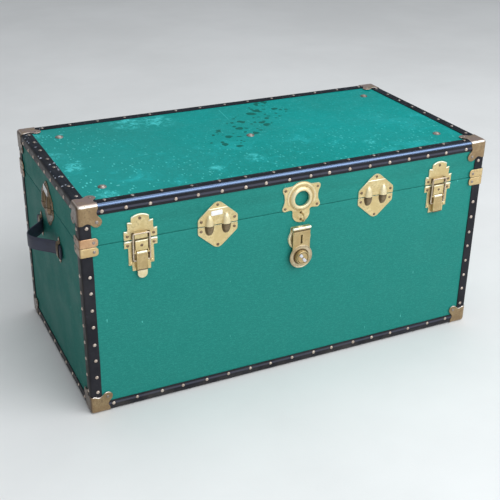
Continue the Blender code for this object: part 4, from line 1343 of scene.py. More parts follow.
# ------------------------------------------------------------- the draw latches
LATCH_HALF_WIDTH = 0.0333
LATCH_STEP_X = 0.0258
PLATE_GAP = 0.0010
LATCH_FOOT_RIVET = (0.0037, 0.0018)
LATCH_BRIDGE_RIVET = (0.0030, 0.0009)
LEVER_ROLL = 0.0030
BAIL_BEND = 0.0038


def bail_shadow_strip(sign, low, high):
    """A thin dark strip beside the lever, under an arm of the bail: a painted shadow."""
    outline = [(sign * 0.0128, low), (sign * 0.0186, low), (sign * 0.0186, high), (sign * 0.0128, high)]
    return slab(eased(outline, 0.0016, range(4), 3), GAP + SHEET - 0.0003, GAP + SHEET + 0.0002, 0.0001)


def make_latch_catch(side, place, chance):
    """The stepped plate on the lid, with flared steps and a rim in a painted highlight, and the lip that the
    bail hooks.
    """
    half = [(0.0, 0.0522)] + arc((0.0, 0.0207), 0.0315, 84.0, 54.7, 6)
    half += [(0.0182, 0.0370), (LATCH_STEP_X, 0.0370), (LATCH_STEP_X, 0.0195)]
    half += [(LATCH_HALF_WIDTH, 0.0195), (LATCH_HALF_WIDTH, PLATE_GAP)]
    piece = Piece("fine_" + side + "_latch_catch")
    piece.add(plate(mirrored(half)), BRASS, place, BRASS_HIGHLIGHT)
    shoulders = ((0.0170, LATCH_STEP_X - 0.0009, 0.0360), (0.0262, LATCH_HALF_WIDTH - 0.0009, 0.0186))
    for near, far, top in shoulders:
        for sign in (-1.0, 1.0):
            flare = [(sign * far, top + 0.0003, 0.0017), (sign * (near + far) / 2.0, top - 0.0004, 0.0020)]
            flare.append((sign * near, top - 0.0018, 0.0018))
            piece.add(tube(flare, 0.0014, 12), BRASS_HIGHLIGHT, place)
    brow = [(x * 0.975, y - 0.0010, 0.0018) for x, y in arc((0.0, 0.0207), 0.0312, 56.0, 124.0, 16)]
    piece.add(tube(brow, 0.0014, 12), BRASS_HIGHLIGHT, place)
    hook = [(0.0008, 0.0008), (0.0008, 0.0040), (0.0014, 0.0044), (0.0104, 0.0044)]
    hook += arc((0.0106, 0.0022), 0.0022, 80.0, 0.0, 5) + [(0.0128, 0.0008)]
    piece.add(bar(hook, -0.0130, 0.0130, 0.0006), BRASS, place)
    piece.add(rod(-0.0124, 0.0124, 0.0115, 0.0031, 0.0015, 12), WIRE, place)
    # a dark bar under the lip: a painted shadow
    shade = [(0.0008, 0.0030), (0.0006, 0.0046), (0.0020, 0.0047), (0.0024, 0.0030)]
    piece.add(bar(shade, -0.0126, 0.0126, 0.0004), BRASS_DARK, place)
    # dark strips under the bail's arms: painted shadow
    for sign in (-1.0, 1.0):
        piece.add(bail_shadow_strip(sign, 0.0008, 0.0150), BRASS_DARK, place)
    plate_rivets(piece, place, ((0.0, 0.043), (0.0262, 0.0085), (-0.0262, 0.0085)), chance)
    piece.finish("lid", "brass", [side + "_latch_catch"])


def make_latch_base(side, place, chance):
    """The stepped plate on the body, with the bridge, the two lugs and their pin."""
    half = [(LATCH_HALF_WIDTH, -PLATE_GAP), (LATCH_HALF_WIDTH, -0.0160), (LATCH_STEP_X, -0.0160)]
    half += [(LATCH_STEP_X, -0.0530), (0.0188, -0.0530), (0.0188, -0.0655)]
    piece = Piece("fine_" + side + "_latch_base")
    # the plate's rim, the step beads and the bridge's roll are in brass with a painted highlight
    piece.add(plate(mirrored(half)), BRASS, place, BRASS_HIGHLIGHT)
    for sign in (-1.0, 1.0):
        flare = [(sign * x, -0.0027, 0.0019) for x in (0.0188, 0.0250, LATCH_HALF_WIDTH - 0.0010)]
        piece.add(tube(flare, 0.0018, 12), BRASS_HIGHLIGHT, place)
        # a dark strip under the bail's arm: painted shadow
        piece.add(bail_shadow_strip(sign, -0.0460, -0.0010), BRASS_DARK, place)
        lug = [(-0.0200, 0.0008), (-0.0200, 0.0062)]
        lug += [(y, z) for z, y in arc((0.0050, -0.0265), 0.0024, 30.0, -70.0, 6)] + [(-0.0300, 0.0008)]
        low, high = sorted((sign * 0.0119, sign * 0.0138))
        piece.add(bar(lug, low, high, 0.0003), BRASS, place)
        boss = [(sign * x, LEVER_PIVOT.y, LEVER_PIVOT.z) for x in (0.0135, 0.0143, 0.0150)]
        piece.add(tube(boss, 0.0019, 12), BRASS_SHADE, place)
    span = [(-0.0010, 0.0008), (-0.0010, 0.0050), (-0.0018, 0.0062), (-0.0030, 0.0068)]
    span += [(-0.0200, 0.0068), (-0.0218, 0.0060), (-0.0225, 0.0045), (-0.0225, 0.0008)]
    piece.add(bar(span, -0.0128, 0.0128, 0.0006), BRASS, place)
    piece.add(rod(-0.0122, 0.0122, -0.0019, 0.0060, 0.0010, 10), BRASS_HIGHLIGHT, place)
    plate_rivets(piece, place, ((0.0262, -0.0105), (-0.0262, -0.0105)), chance)
    for x in (-0.0212, 0.0212):
        add_rivet(piece, shifted(place, x, -0.0484, GAP + SHEET), chance, *LATCH_FOOT_RIVET, BRASS)
    add_rivet(piece, shifted(place, 0.0, -0.0110, 0.0067), chance, *LATCH_BRIDGE_RIVET, RIVET_DARK)
    piece.finish("case", "brass", [side + "_latch_base"])


def make_latch_lever(side, place):
    """The draw lever: a pressed cover with a rolled top. The right one has lost its thumb tab."""
    about = place @ Matrix.Translation(LEVER_PIVOT)
    wide = LEVER_HALF_WIDTH
    piece = Piece("fine_" + side + "_latch_lever")
    cover = [(y, z) for z, y in arc((0.0, 0.0), 0.0029, 110.0, 10.0, 8)]
    cover += [(-0.0060, 0.0032), (-0.0180, 0.0035), (-0.0320, 0.0033), (-0.0362, 0.0026), (-0.0366, 0.0006)]
    cover += [(-0.0352, -0.0018), (-0.0320, -0.0032), (-0.0060, -0.0032)]
    bore = swung(drill(0.0014, -0.02, 0.02, 16), 90.0, "Y")
    piece.add(cut_out(bar(cover, -wide, wide, 0.0008), bore), BRASS_SHADE, about)
    for sign in (-1.0, 1.0):
        x = sign * (wide - 0.0011)
        fold = [(x, -0.0060, 0.0030), (x, -0.0200, 0.0034), (x, -0.0345, 0.0030)]
        piece.add(tube(fold, 0.0009, 8), BRASS, about)
    # the rolled top, in brass with a painted highlight
    for low, high in ((-0.0096, -0.0060), (-0.0050, 0.0048), (0.0058, 0.0096)):
        piece.add(rod(low, high, 0.0002, 0.0003, LEVER_ROLL, 16), BRASS_HIGHLIGHT, about)
    # a dark rod along the foot of the cover: a painted shadow line
    piece.add(rod(0.0014 - wide, wide - 0.0014, -0.0358, 0.0022, 0.0013, 10), BRASS_DARK, about)
    if side == "left":
        half = [(0.0100, -0.0350)] + arc((0.0, -0.0445), 0.0100, 0.0, -84.0, 12) + [(0.0, -0.0545)]
        # the thumb tab is in the paler lit brass: painted light
        piece.add(slab(mirrored(half), -0.0008, 0.0013, 0.0007), BRASS_LIT, about)
    else:
        # the stub of the lost tab, bent back into shade, is drawn in dark brass: painted shade
        stub = block((-0.0085, -0.0384, -0.0016), (0.0085, -0.0350, 0.0008), 0.0006)
        piece.add(stub, BRASS_DARK, about)
    piece.finish(side + "_latch_lever", "brass", [side + "_latch_lever"])


def make_latch_bail(side, place):
    """The wire bail: straight arms, a square-shouldered top bar, and ends bent into the lever."""
    end_x = LEVER_HALF_WIDTH - 0.0020
    foot = LEVER_PIVOT.z
    corners = [
        (-end_x, BAIL_PIVOT_Y, foot), (-BAIL_HALF_WIDTH, BAIL_PIVOT_Y, foot),
        (-BAIL_HALF_WIDTH, BAIL_TOP_Y, BAIL_TOP_OUT), (BAIL_HALF_WIDTH, BAIL_TOP_Y, BAIL_TOP_OUT),
        (BAIL_HALF_WIDTH, BAIL_PIVOT_Y, foot), (end_x, BAIL_PIVOT_Y, foot),
    ]
    piece = Piece("fine_" + side + "_latch_bail")
    piece.add(tube(smooth_path(corners, BAIL_BEND, 7), BAIL_WIRE, 14), WIRE, place)
    piece.finish(side + "_latch_bail", "steel_wire", [side + "_latch_bail"])


def make_latches():
    chance = random.Random(101)
    for side in ("left", "right"):
        place = on_face((middle_of(side + "_latch_catch").x, FRONT_Y, PARTING_Z), FRONT)
        make_latch_catch(side, place, chance)
        make_latch_base(side, place, chance)
        make_latch_lever(side, place)
        make_latch_bail(side, place)


# ------------------------------------------------------------- the dowel sets
DOWEL_HALF_WIDTH = 0.0425
DOWEL_SIDE_Y = 0.0160
DOWEL_TIP_Y = 0.0485
DOWEL_TIP_RADIUS = 0.0145
DOWEL_CORNER = 0.0080
DOWEL_SLOPE = 48.7
DOWEL_BOSS_X = 0.018
DOWEL_OUT = 0.0050


def dowel_outline(sign):
    """Half of a six-sided plate, with its corners and point rounded, above or below."""
    corner_y = DOWEL_SIDE_Y - DOWEL_CORNER * math.tan(math.radians(DOWEL_SLOPE / 2.0))
    tip = arc((0.0, DOWEL_TIP_Y - DOWEL_TIP_RADIUS), DOWEL_TIP_RADIUS, 90.0, DOWEL_SLOPE, 8)
    corner = arc((DOWEL_HALF_WIDTH - DOWEL_CORNER, corner_y), DOWEL_CORNER, DOWEL_SLOPE, 0.0, 7)
    half = tip + corner + [(DOWEL_HALF_WIDTH, 0.0009)]
    return [(x, sign * y) for x, y in mirrored(half)]


def boss_shape(sign, foot, length, roundness, tall):
    """A pressed housing with a domed end, standing out of its plate on a flared foot."""
    shape = bmesh.new()
    rows = []
    steps = 16
    for step in range(steps + 1):
        t = math.sin(math.pi / 2.0 * step / steps)
        radius = max(0.0002, 0.0090 * (1.0 - 0.10 * t) * math.sqrt(max(0.0, 1.0 - t ** roundness)))
        y = sign * (0.0006 + (length - 0.0006) * t)
        row = [shape.verts.new((radius + 0.0011, y + sign * 0.0011 * t, foot))]
        for i in range(1, 18):
            angle = math.pi * i / 18.0
            rise = radius * tall * math.sin(angle)
            row.append(shape.verts.new((radius * math.cos(angle), y, foot - 0.0004 + rise)))
        row.append(shape.verts.new((-radius - 0.0011, y + sign * 0.0011 * t, foot)))
        rows.append(row)
    for faces in fill_rows(shape, rows):
        faces[0].material_index = 1
        faces[-1].material_index = 1
    shape.faces.new([row[0] for row in rows] + [row[-1] for row in reversed(rows)])
    shape.faces.new(rows[0])
    shape.faces.new(rows[-1])
    return shape


def joggled(shape, line, soft, drop):
    """Set a plate's tip back beyond a line, as if pressed over a step."""
    for y in (line, line + soft):
        geometry = shape.verts[:] + shape.edges[:] + shape.faces[:]
        bmesh.ops.bisect_plane(shape, geom=geometry, plane_co=(0.0, y, 0.0), plane_no=(0.0, 1.0, 0.0))
    for vertex in shape.verts:
        if vertex.co.z > GAP * 2.0:
            lift = drop if vertex.co.y <= line + 1e-5 else 0.0
            vertex.co.z += lift
    return shape


def make_dowel(name, place, chance, label_at, metals):
    plate_metal, rim_metal, pin_metal, shaded_socket_metal = metals
    step = 0.0009
    lid_top = GAP + STAMPED + step
    lid = Piece("fine_dowel_lid_" + name)
    stepped = joggled(plate(dowel_outline(1.0), GAP, STAMPED), 0.0335, 0.0022, step)
    lid.add(stepped, plate_metal, place, rim_metal)
    # a bead across the joggle, in the rim metal: painted highlight on the front sets
    lid.add(rod(-0.0206, 0.0206, 0.0343, GAP + STAMPED + 0.0002, 0.0012, 10), rim_metal, place)
    body = Piece("fine_dowel_body_" + name)
    body.add(plate(dowel_outline(-1.0)), plate_metal, place, rim_metal)
    # the housings on the lid plate face up and take the pin metal, lit on the front sets (painted light);
    # those on the body plate face down and take the darker socket metal with a dark flared foot (painted
    # shade)
    for x in (-DOWEL_BOSS_X, DOWEL_BOSS_X):
        pin_housing = boss_shape(1.0, lid_top + 0.0001, 0.0228, 2.4, 0.78)
        lid.add(pin_housing, pin_metal, shifted(place, x, 0.0), second=plate_metal)
        pin = turned([
            (0.0, -0.0092), (0.0010, -0.0090), (0.0020, -0.0080), (0.0026, -0.0060), (0.0026, 0.0030),
            (0.0, 0.0030),
        ], 16)
        lid.add(swung(pin, -90.0, "X"), WIRE, shifted(place, x, 0.0, DOWEL_OUT))
        socket = slid(swung(drill(0.0032, -0.0100, 0.0100, 16), -90.0, "X"), 0.0, 0.0, DOWEL_OUT)
        housing = cut_out(boss_shape(-1.0, GAP + SHEET + 0.0001, 0.0196, 2.9, 0.92), socket)
        body.add(housing, shaded_socket_metal, shifted(place, x, 0.0), second=BRASS_DARK)
    plate_rivets(lid, place, ((0.0, 0.0420),), chance, GAP + STAMPED)
    plate_rivets(lid, place, ((0.0355, 0.0110), (-0.0355, 0.0110)), chance, lid_top)
    plate_rivets(body, place, ((0.0355, -0.0097), (-0.0355, -0.0097), (0.0, -0.0430)), chance)
    if label_at is not None:
        x, y, half_w, half_h, lean = label_at
        corners = [(-half_w, -half_h), (half_w, -half_h), (half_w, half_h), (-half_w, half_h)]
        sticker = Piece("label_" + name)
        sticker.add(
            slab(eased(corners, 0.0022, range(4), 5), 0.0, 0.0005, 0.0002), LABEL,
            shifted(place, x, y, lid_top) @ Matrix.Rotation(math.radians(lean), 4, "Z"),
        )
        sticker.finish("lid", "brass")
    lid.finish("lid", "brass", ["dowel_lid_" + name])
    body.finish("case", "brass", ["dowel_body_" + name])


def make_dowels():
    chance = random.Random(113)
    labels = {
        "front_left": (-0.0025, 0.0258, 0.0120, 0.0050, 2.0),
        "left_end": (-0.0060, 0.0272, 0.0140, 0.0080, -12.0),
    }
    sets = (("front_left", FRONT), ("front_right", FRONT), ("left_end", LEFT), ("right_end", RIGHT))
    for name, out in sets:
        middle = middle_of("dowel_body_" + name)
        # front sets: a rim with a painted highlight, lit pins (painted light) and shaded sockets (painted
        # shade); end sets: plate, rim and pins in the shaded brass and sockets darker still, as painted shade
        if out.y:
            point = (middle.x, FRONT_Y, PARTING_Z)
            metals = (BRASS, BRASS_HIGHLIGHT, BRASS_LIT, SHADED_BRASS)
        else:
            point = (LEFT_X if out.x < 0.0 else RIGHT_X, middle.y, PARTING_Z)
            metals = (SHADED_BRASS, SHADED_BRASS, SHADED_BRASS, RIVET_DARK)
        make_dowel(name, on_face(point, out), chance, labels.get(name), metals)


# ------------------------------------------------------------- the lock
CROWN_TOP = 0.0603
CROWN_RADIUS = 0.0320


def make_lock_plate(place, chance):
    """The eared plate on the lid, with a swaged ring round its hole and a padlock staple."""
    half = [(0.0, CROWN_TOP)] + arc((0.0, CROWN_TOP - CROWN_RADIUS), CROWN_RADIUS, 84.0, 50.0, 8)
    half += arc((0.0365, 0.0457), 0.0068, 100.0, -25.0, 14)
    half += [(0.0395, RING_Y + 0.0115), (0.0382, RING_Y + 0.0040), (0.0386, RING_Y - 0.0050)]
    half += arc((0.0365, 0.0060), 0.0068, 25.0, -110.0, 14)
    half += [(0.0240, 0.0010), (0.0200, -0.0016)]
    half += arc((0.0, -0.0090), 0.0200, 12.0, -84.0, 14) + [(0.0, -0.0290)]
    hole = slid(drill(RING_HOLE, -0.01, 0.02, 48), 0.0, RING_Y, 0.0)
    piece = Piece("fine_lock_plate")
    # the plate's rim is in brass with a painted highlight
    piece.add(cut_out(plate(mirrored(half), corner=0.0040), hole), BRASS, place, BRASS_HIGHLIGHT)
    ring = turned([
        (RING_HOLE, 0.0005), (RING_HOLE, 0.0034), (0.0168, 0.0046), (0.0175, 0.0054), (0.0186, 0.0059),
        (0.0200, 0.0060),
        (0.0214, 0.0056), (0.0228, 0.0047), (0.0240, 0.0035), (0.0249, 0.0023), (0.0254, 0.0012),
    ], 56, closed=True)
    # the raised ring and the swage are in the paler lit brass: painted light
    piece.add(ring, BRASS_LIT, shifted(place, 0.0, RING_Y))
    # a darker band in the step round the ring: painted shade in the groove
    shaded_groove_band = turned([(0.0252, 0.0010), (0.0253, 0.0017), (0.0274, 0.0017), (0.0276, 0.0010)], 48, closed=True)
    piece.add(shaded_groove_band, BRASS_SHADE, shifted(place, 0.0, RING_Y))
    swage = [(x, y, 0.0003) for x, y in arc((0.0, RING_Y + 0.0012), 0.0306, -24.0, 204.0, 40)]
    piece.add(tube(swage, 0.0028, 16), BRASS_LIT, place)
    top = STAPLE_Y + STAPLE_HALF
    foot = STAPLE_Y - STAPLE_HALF
    corners = [(0.0, top, 0.0008), (0.0, top, STAPLE_OUT), (0.0, foot, STAPLE_OUT), (0.0, foot, 0.0008)]
    piece.add(tube(smooth_path(corners, 0.0070, 8), STAPLE_WIRE, 12), BRASS_SHADE, place)
    for y in (top, foot):
        collar = turned([(0.0030, 0.0010), (0.0026, 0.0021), (0.0014, 0.0024), (0.0, 0.0024)], 16)
        piece.add(collar, BRASS_DARK, shifted(place, 0.0, y))
    spots = ((0.0365, 0.0446), (-0.0365, 0.0446), (0.0365, 0.0055), (-0.0365, 0.0055))
    plate_rivets(piece, place, spots, chance)
    piece.finish("lid", "brass", ["lock_plate"])


HASP_KNUCKLE = 0.0075
HASP_BARREL = 0.0030
HASP_HALF_WIDTH = 0.0205
HASP_PLATE_RADIUS = 0.0262
HASP_PLATE_X = -0.0015


def make_hasp_plate(place, chance):
    """The pear-shaped plate on the body, with a domed rim and two barrels of the hinge."""
    centre_y = HASP_AXIS_Y - 0.0240
    half = [(0.0, HASP_AXIS_Y + 0.0030), (0.0205, HASP_AXIS_Y + 0.0030)]
    half += arc((0.0, centre_y), HASP_PLATE_RADIUS, 35.0, -84.0, 16) + [(0.0, centre_y - HASP_PLATE_RADIUS)]
    piece = Piece("fine_hasp_plate")
    # the plate's rim is in brass with a painted highlight
    piece.add(plate(mirrored(half)), BRASS, shifted(place, HASP_PLATE_X, 0.0), BRASS_HIGHLIGHT)
    # the domed rim is in the paler lit brass: painted light
    dome = turned([
        (0.0259, 0.0010), (0.0258, 0.0022), (0.0251, 0.0032), (0.0238, 0.0038), (0.0216, 0.0035),
        (0.0198, 0.0026),
        (0.0186, 0.0014), (0.0184, 0.0010),
    ], 48, closed=True)
    piece.add(dome, BRASS_LIT, shifted(place, HASP_PLATE_X, centre_y))
    web = [(HASP_AXIS_Y + 0.0030, 0.0008), (HASP_AXIS_Y + 0.0029, HASP_AXIS_OUT)]
    web += [(HASP_AXIS_Y + 0.0015, HASP_AXIS_OUT), (HASP_AXIS_Y + 0.0015, 0.0008)]
    # the hinge barrels are in brass with a painted highlight
    for low, high in ((-HASP_HALF_WIDTH, -HASP_KNUCKLE), (HASP_KNUCKLE, HASP_HALF_WIDTH)):
        piece.add(bar(web, low, high), BRASS, place)
        barrel = rod(low + 0.0006, high - 0.0006, HASP_AXIS_Y, HASP_AXIS_OUT, HASP_BARREL, 18)
        piece.add(barrel, BRASS_HIGHLIGHT, place)
    piece.add(rod(-0.0100, 0.0100, HASP_AXIS_Y, HASP_AXIS_OUT, 0.0013, 12), WIRE, place)
    spots = ((0.0110, centre_y + 0.0090), (-0.0110, centre_y + 0.0090), (0.0, centre_y - 0.0110))
    plate_rivets(piece, place, spots, chance)
    piece.finish("case", "brass", ["hasp_plate"])


def make_hasp_flap(place):
    """The swinging flap, with a folded band, a slot and a swaged ring round the lock case."""
    about = shifted(place, 0.0, HASP_AXIS_Y, HASP_AXIS_OUT)
    boss = shifted(about, 0.0, -FLAP_REACH)
    knuckle = HASP_KNUCKLE - GAP
    half = [(0.0, 0.0), (knuckle, 0.0), (knuckle, -0.0040), (0.0198, -0.0040), (0.0198, -0.0445)]
    half += [(0.0208, -0.0490)]
    half += arc((0.0, -FLAP_REACH), 0.0252, 28.0, -84.0, 18) + [(0.0, -FLAP_REACH - 0.0252)]
    slot = arc((0.0, -0.0171), 0.0026, 0.0, 180.0, 8) + [(-0.0020, -0.0200), (-0.0020, -0.0300)]
    slot += arc((0.0, -0.0329), 0.0026, 180.0, 360.0, 8) + [(0.0020, -0.0300), (0.0020, -0.0200)]
    hole = stacked([(slot, -0.01), (slot, 0.01)])
    case_hole = slid(drill(0.0062, -0.01, 0.01, 32), 0.0, -FLAP_REACH, 0.0)
    piece = Piece("fine_hasp_flap")
    flap = cut_out(plate(mirrored(half), -0.0008, 0.0016, 0.0010, 0.0009, 0.0003), hole, case_hole)
    piece.add(flap, BRASS_SHADE, about, BRASS)
    # the flap's barrel is in brass with a painted highlight
    piece.add(rod(0.0006 - knuckle, knuckle - 0.0006, 0.0, 0.0, HASP_BARREL, 18), BRASS_HIGHLIGHT, about)
    shadow = block((-0.0192, -0.0064, 0.0002), (0.0192, -0.0042, 0.0014), 0.0003)
    piece.add(shadow, BRASS_DARK, about)
    band = [(-0.0175, -0.0066), (0.0150, -0.0066), (0.0150, -0.0120), (-0.0175, -0.0120)]
    piece.add(slab(eased(band, 0.0012, range(4), 3), 0.0002, 0.0015, 0.0006), BRASS_SHADE, about)
    ring = turned([
        (0.0254, -0.0004), (0.0259, 0.0004), (0.0258, 0.0013), (0.0251, 0.0018), (0.0242, 0.0016),
        (0.0234, 0.0009),
        (0.0234, 0.0002),
    ], 56, closed=True)
    piece.add(ring, RING_METAL, boss)
    dish = turned([(0.0236, 0.0003), (0.0233, 0.0010), (0.0180, 0.0012), (0.0176, 0.0003)], 56, closed=True)
    piece.add(dish, RING_METAL, boss)
    # a dark band between the dish and the lock case: painted shade in the groove
    shaded_groove_band = turned([(0.0152, 0.0003), (0.0153, 0.0011), (0.0176, 0.0011), (0.0178, 0.0003)], 48, closed=True)
    piece.add(shaded_groove_band, BRASS_DARK, boss)
    piece.finish("hasp", "brass", ["hasp_flap"])


def make_lock_case(place):
    """The round lock case on the flap, with its two bright tabs, and the key plug inside it."""
    about = shifted(place, 0.0, HASP_AXIS_Y - FLAP_REACH, HASP_AXIS_OUT)
    face = DRUM_DEPTH - 0.0012
    drum = turned([
        (0.0062, 0.0011), (DRUM_RADIUS, 0.0011), (DRUM_RADIUS, face - 0.0002),
        (DRUM_RADIUS - 0.0004, face + 0.0007),
        (DRUM_RADIUS - 0.0012, DRUM_DEPTH), (0.0132, DRUM_DEPTH - 0.0001), (0.0125, face + 0.0002),
        (0.0090, face),
        (0.0018, face), (0.0018, 0.0085), (0.0062, 0.0085),
    ], 48, closed=True)
    piece = Piece("fine_lock_drum")
    piece.add(drum, BRASS_SHADE, about)
    # a dark ring just inside the raised rim of the face: painted shade
    inner = [(0.0125, face - 0.0002), (0.0124, face + 0.0003), (0.0112, face + 0.0003), (0.0110, face)]
    piece.add(turned(inner, 48, closed=True), BRASS_DARK, about)
    lean = Matrix.Rotation(math.radians(40.0), 4, "Z")
    for sign in (-1.0, 1.0):
        spot = lean @ Vector((sign * 0.0004, sign * 0.0066, face - 0.0004))
        tab = block((-0.0030, -0.0046, 0.0), (0.0030, 0.0046, 0.0022), 0.0008)
        tilt = Matrix.Rotation(math.radians(8.0 * sign), 4, "X")
        piece.add(tab, WIRE_BRIGHT, shifted(about, spot.x, spot.y, spot.z) @ lean @ tilt)
    piece.finish("hasp", "brass", ["lock_drum"])
    plug = turned([(0.0, 0.0080), (0.0057, 0.0080), (0.0057, -0.0018), (0.0053, -0.0022), (0.0, -0.0022)], 32)
    keyway = block((-0.0006, -0.0035, -0.0100), (0.0006, 0.0035, 0.0040), 0.0001, 1)
    piece = Piece("fine_lock_plug")
    piece.add(cut_out(plug, keyway), WIRE, about).finish("lock_plug", "brass", ["lock_plug"])


def make_lock():
    chance = random.Random(127)
    place = on_face((middle_of("lock_plate").x, FRONT_Y, PARTING_Z), FRONT)
    make_lock_plate(place, chance)
    make_hasp_plate(place, chance)
    make_hasp_flap(place)
    make_lock_case(place)


# ------------------------------------------------------------- handles
def strap_out(along, reach):
    if abs(along) >= reach:
        return STRAP_REST
    wave = 0.5 * (1.0 + math.cos(math.pi * along / reach))
    return STRAP_REST + STRAP_BOW * wave ** 0.75


def strap_section():
    """Half the strap's thickness and width round a soft-edged band: (across, out) pairs."""
    half = STRAP_WIDTH / 2.0
    thick = STRAP_THICK / 2.0 - 0.0001
    top = [(half, 0.0), (half - 0.0003, thick * 0.7), (half - 0.0012, thick), (half - 0.0022, thick)]
    top += [(half - 0.0027, thick - 0.0003), (half - 0.0032, thick), (half * 0.4, thick + 0.0001)]
    top += [(0.0, thick + 0.0001)]
    upper = top + [(-x, y) for x, y in reversed(top[:-1])]
    return upper + [(x, -y) for x, y in reversed(upper[1:-1])]


def strap_half(spacing, sign):
    """One half of a carrying strap, from its middle to its tail."""
    reach = spacing / 2.0 - LOOP_HALF_DEPTH
    end = spacing / 2.0 + STRAP_TAIL
    steps = 56
    shape = bmesh.new()
    rings = []
    section = strap_section()
    for i in range(steps + 1):
        along = end * i / steps
        out = strap_out(along, reach)
        slope = (strap_out(along + 0.0005, reach) - strap_out(along - 0.0005, reach)) / 0.001
        normal = Vector((-slope, 1.0)).normalized()
        to_tail = max(0.0, along - (end - STRAP_TIP)) / STRAP_TIP
        narrow = math.sqrt(max(0.30, 1.0 - to_tail ** 5.0))
        curl = 0.0012 * to_tail
        ring = []
        for across, thick in section:
            x = sign * (along + normal.x * thick)
            ring.append(shape.verts.new((x, across * narrow, out + curl + normal.y * thick)))
        rings.append(ring)
    for first, second in zip(rings, rings[1:]):
        bridge(shape, first, second)
    shape.faces.new(rings[-1])
    shape.faces.new(rings[0])
    return shape


LOOP_WALL = 0.0013
LOOP_BRIDGE = 0.0178
LOOP_FOOT = 0.0112
LOOP_RIVET_Y = 0.0232
LOOP_RIVET = (0.0028, 0.0013)


def loop_shape():
    """A tall pressed bridge with pointed feet that the strap runs through."""
    path = [
        (-0.0290, GAP), (-0.0178, GAP), (-0.0172, 0.0010), (-0.0166, 0.0036), (-0.0140, 0.0054),
        (-0.0070, 0.0060),
        (0.0, 0.0061), (0.0070, 0.0060), (0.0140, 0.0054), (0.0166, 0.0036), (0.0172, 0.0010),
        (0.0178, GAP), (0.0290, GAP),
    ]
    rows = []
    fine = []
    for first, second in zip(path, path[1:]):
        for i in range(4):
            fine.append(Vector(first).lerp(Vector(second), i / 4.0))
    fine.append(Vector(path[-1]))
    for point in fine:
        beyond = max(0.0, abs(point.x) - LOOP_BRIDGE) / LOOP_FOOT
        full = 0.72 if beyond > 0.0 else 0.78
        half = LOOP_HALF_DEPTH * max(0.10, math.sqrt(max(0.0, 1.0 - beyond ** 1.7)) * full)
        row = []
        for share in (-1.0, -0.9, -0.5, 0.0, 0.5, 0.9, 1.0):
            dip = 0.0005 if abs(share) > 0.95 else 0.0
            row.append(Vector((share * half, point.x, point.y + LOOP_WALL - dip)))
        rows.append(row)
    return from_mesh(thickened(raw_mesh(faced(sheet(rows), Z_AXIS)), LOOP_WALL))


def make_handles():
    chance = random.Random(139)
    for side, x, out in (("left", LEFT_X, LEFT), ("right", RIGHT_X, RIGHT)):
        centre = middle_of(side + "_handle_strap")
        loops = []
        for place_name in ("front", "rear"):
            node = side + "_handle_loop_" + place_name
            spot = middle_of(node)
            spot.x = x
            loops.append(spot.y)
            place = on_face(spot, out)
            piece = Piece("fine_" + node)
            # the loops on the ends are in the darker brass: painted shade
            piece.add(loop_shape(), SHADED_BRASS, place)
            for y in (-LOOP_RIVET_Y, LOOP_RIVET_Y):
                add_rivet(piece, shifted(place, 0.0, y, 0.0015), chance, *LOOP_RIVET)
            piece.finish("case", "brass", [node])
        spacing = abs(loops[1] - loops[0])
        middle = Vector((x, (loops[0] + loops[1]) / 2.0, centre.z))
        place = on_face(middle, out)
        right = place.to_3x3() @ X_AXIS
        forward = 1.0 if right.y < 0.0 else -1.0
        for name, sign in (("front", forward), ("rear", -forward)):
            piece = Piece(side + "_strap_" + name)
            piece.add(strap_half(spacing, sign), STRAP, place, STRAP_INSIDE, -0.25)
            item = piece.finish(None, "strap_leather", [side + "_handle_strap"])
            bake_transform(item)


# ------------------------------------------------------------- rear hinges
def make_rear_hinges():
    chance = random.Random(151)
    for side in ("left", "right"):
        low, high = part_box("rear_hinge_lid_" + side)
        place = on_face(((low.x + high.x) / 2.0, REAR_Y, PARTING_Z), REAR)
        half = (high.x - low.x) / 2.0
        for body, leaf, sign in (("lid", "lid", 1.0), ("case", "body", -1.0)):
            node = "rear_hinge_" + leaf + "_" + side
            piece = Piece("fine_" + node)
            near = sign * HINGE_NEAR
            far = sign * HINGE_FAR
            outline = [(-half, near), (half, near), (half, far), (-half, far)]
            # the leaf's rim is in brass with a painted highlight
            piece.add(plate(rounded(outline, 0.0050, 5), GAP, HINGE_LEAF), BRASS, place, BRASS_HIGHLIGHT)
            spots = [(x, sign * y) for x in (-0.0200, 0.0, 0.0200) for y in (0.0170, 0.0310)]
            plate_rivets(piece, place, spots, chance, GAP + HINGE_LEAF)
            edge = HINGE_KNUCKLE + GAP / 2.0
            knuckles = ((-HINGE_KNUCKLE, HINGE_KNUCKLE),) if sign > 0.0 else ((-half, -edge), (edge, half))
            for start, end in knuckles:
                arm = [
                    (sign * 0.0074, GAP), (sign * 0.0074, GAP + 0.0015), (sign * 0.0030, 0.0072),
                    (sign * 0.0012, 0.0066),
                    (sign * 0.0050, GAP),
                ]
                piece.add(bar(arm, start, end), BRASS, place)
                barrel = rod(start + 0.0008, end - 0.0008, 0.0, HINGE_PIN_OUT, HINGE_BARREL, 18)
                piece.add(barrel, BRASS, place)
            piece.finish(body, "brass", [node])


# ------------------------------------------------------------- lid studs
STUD_END = 0.071
STUD_FRONT = 0.080


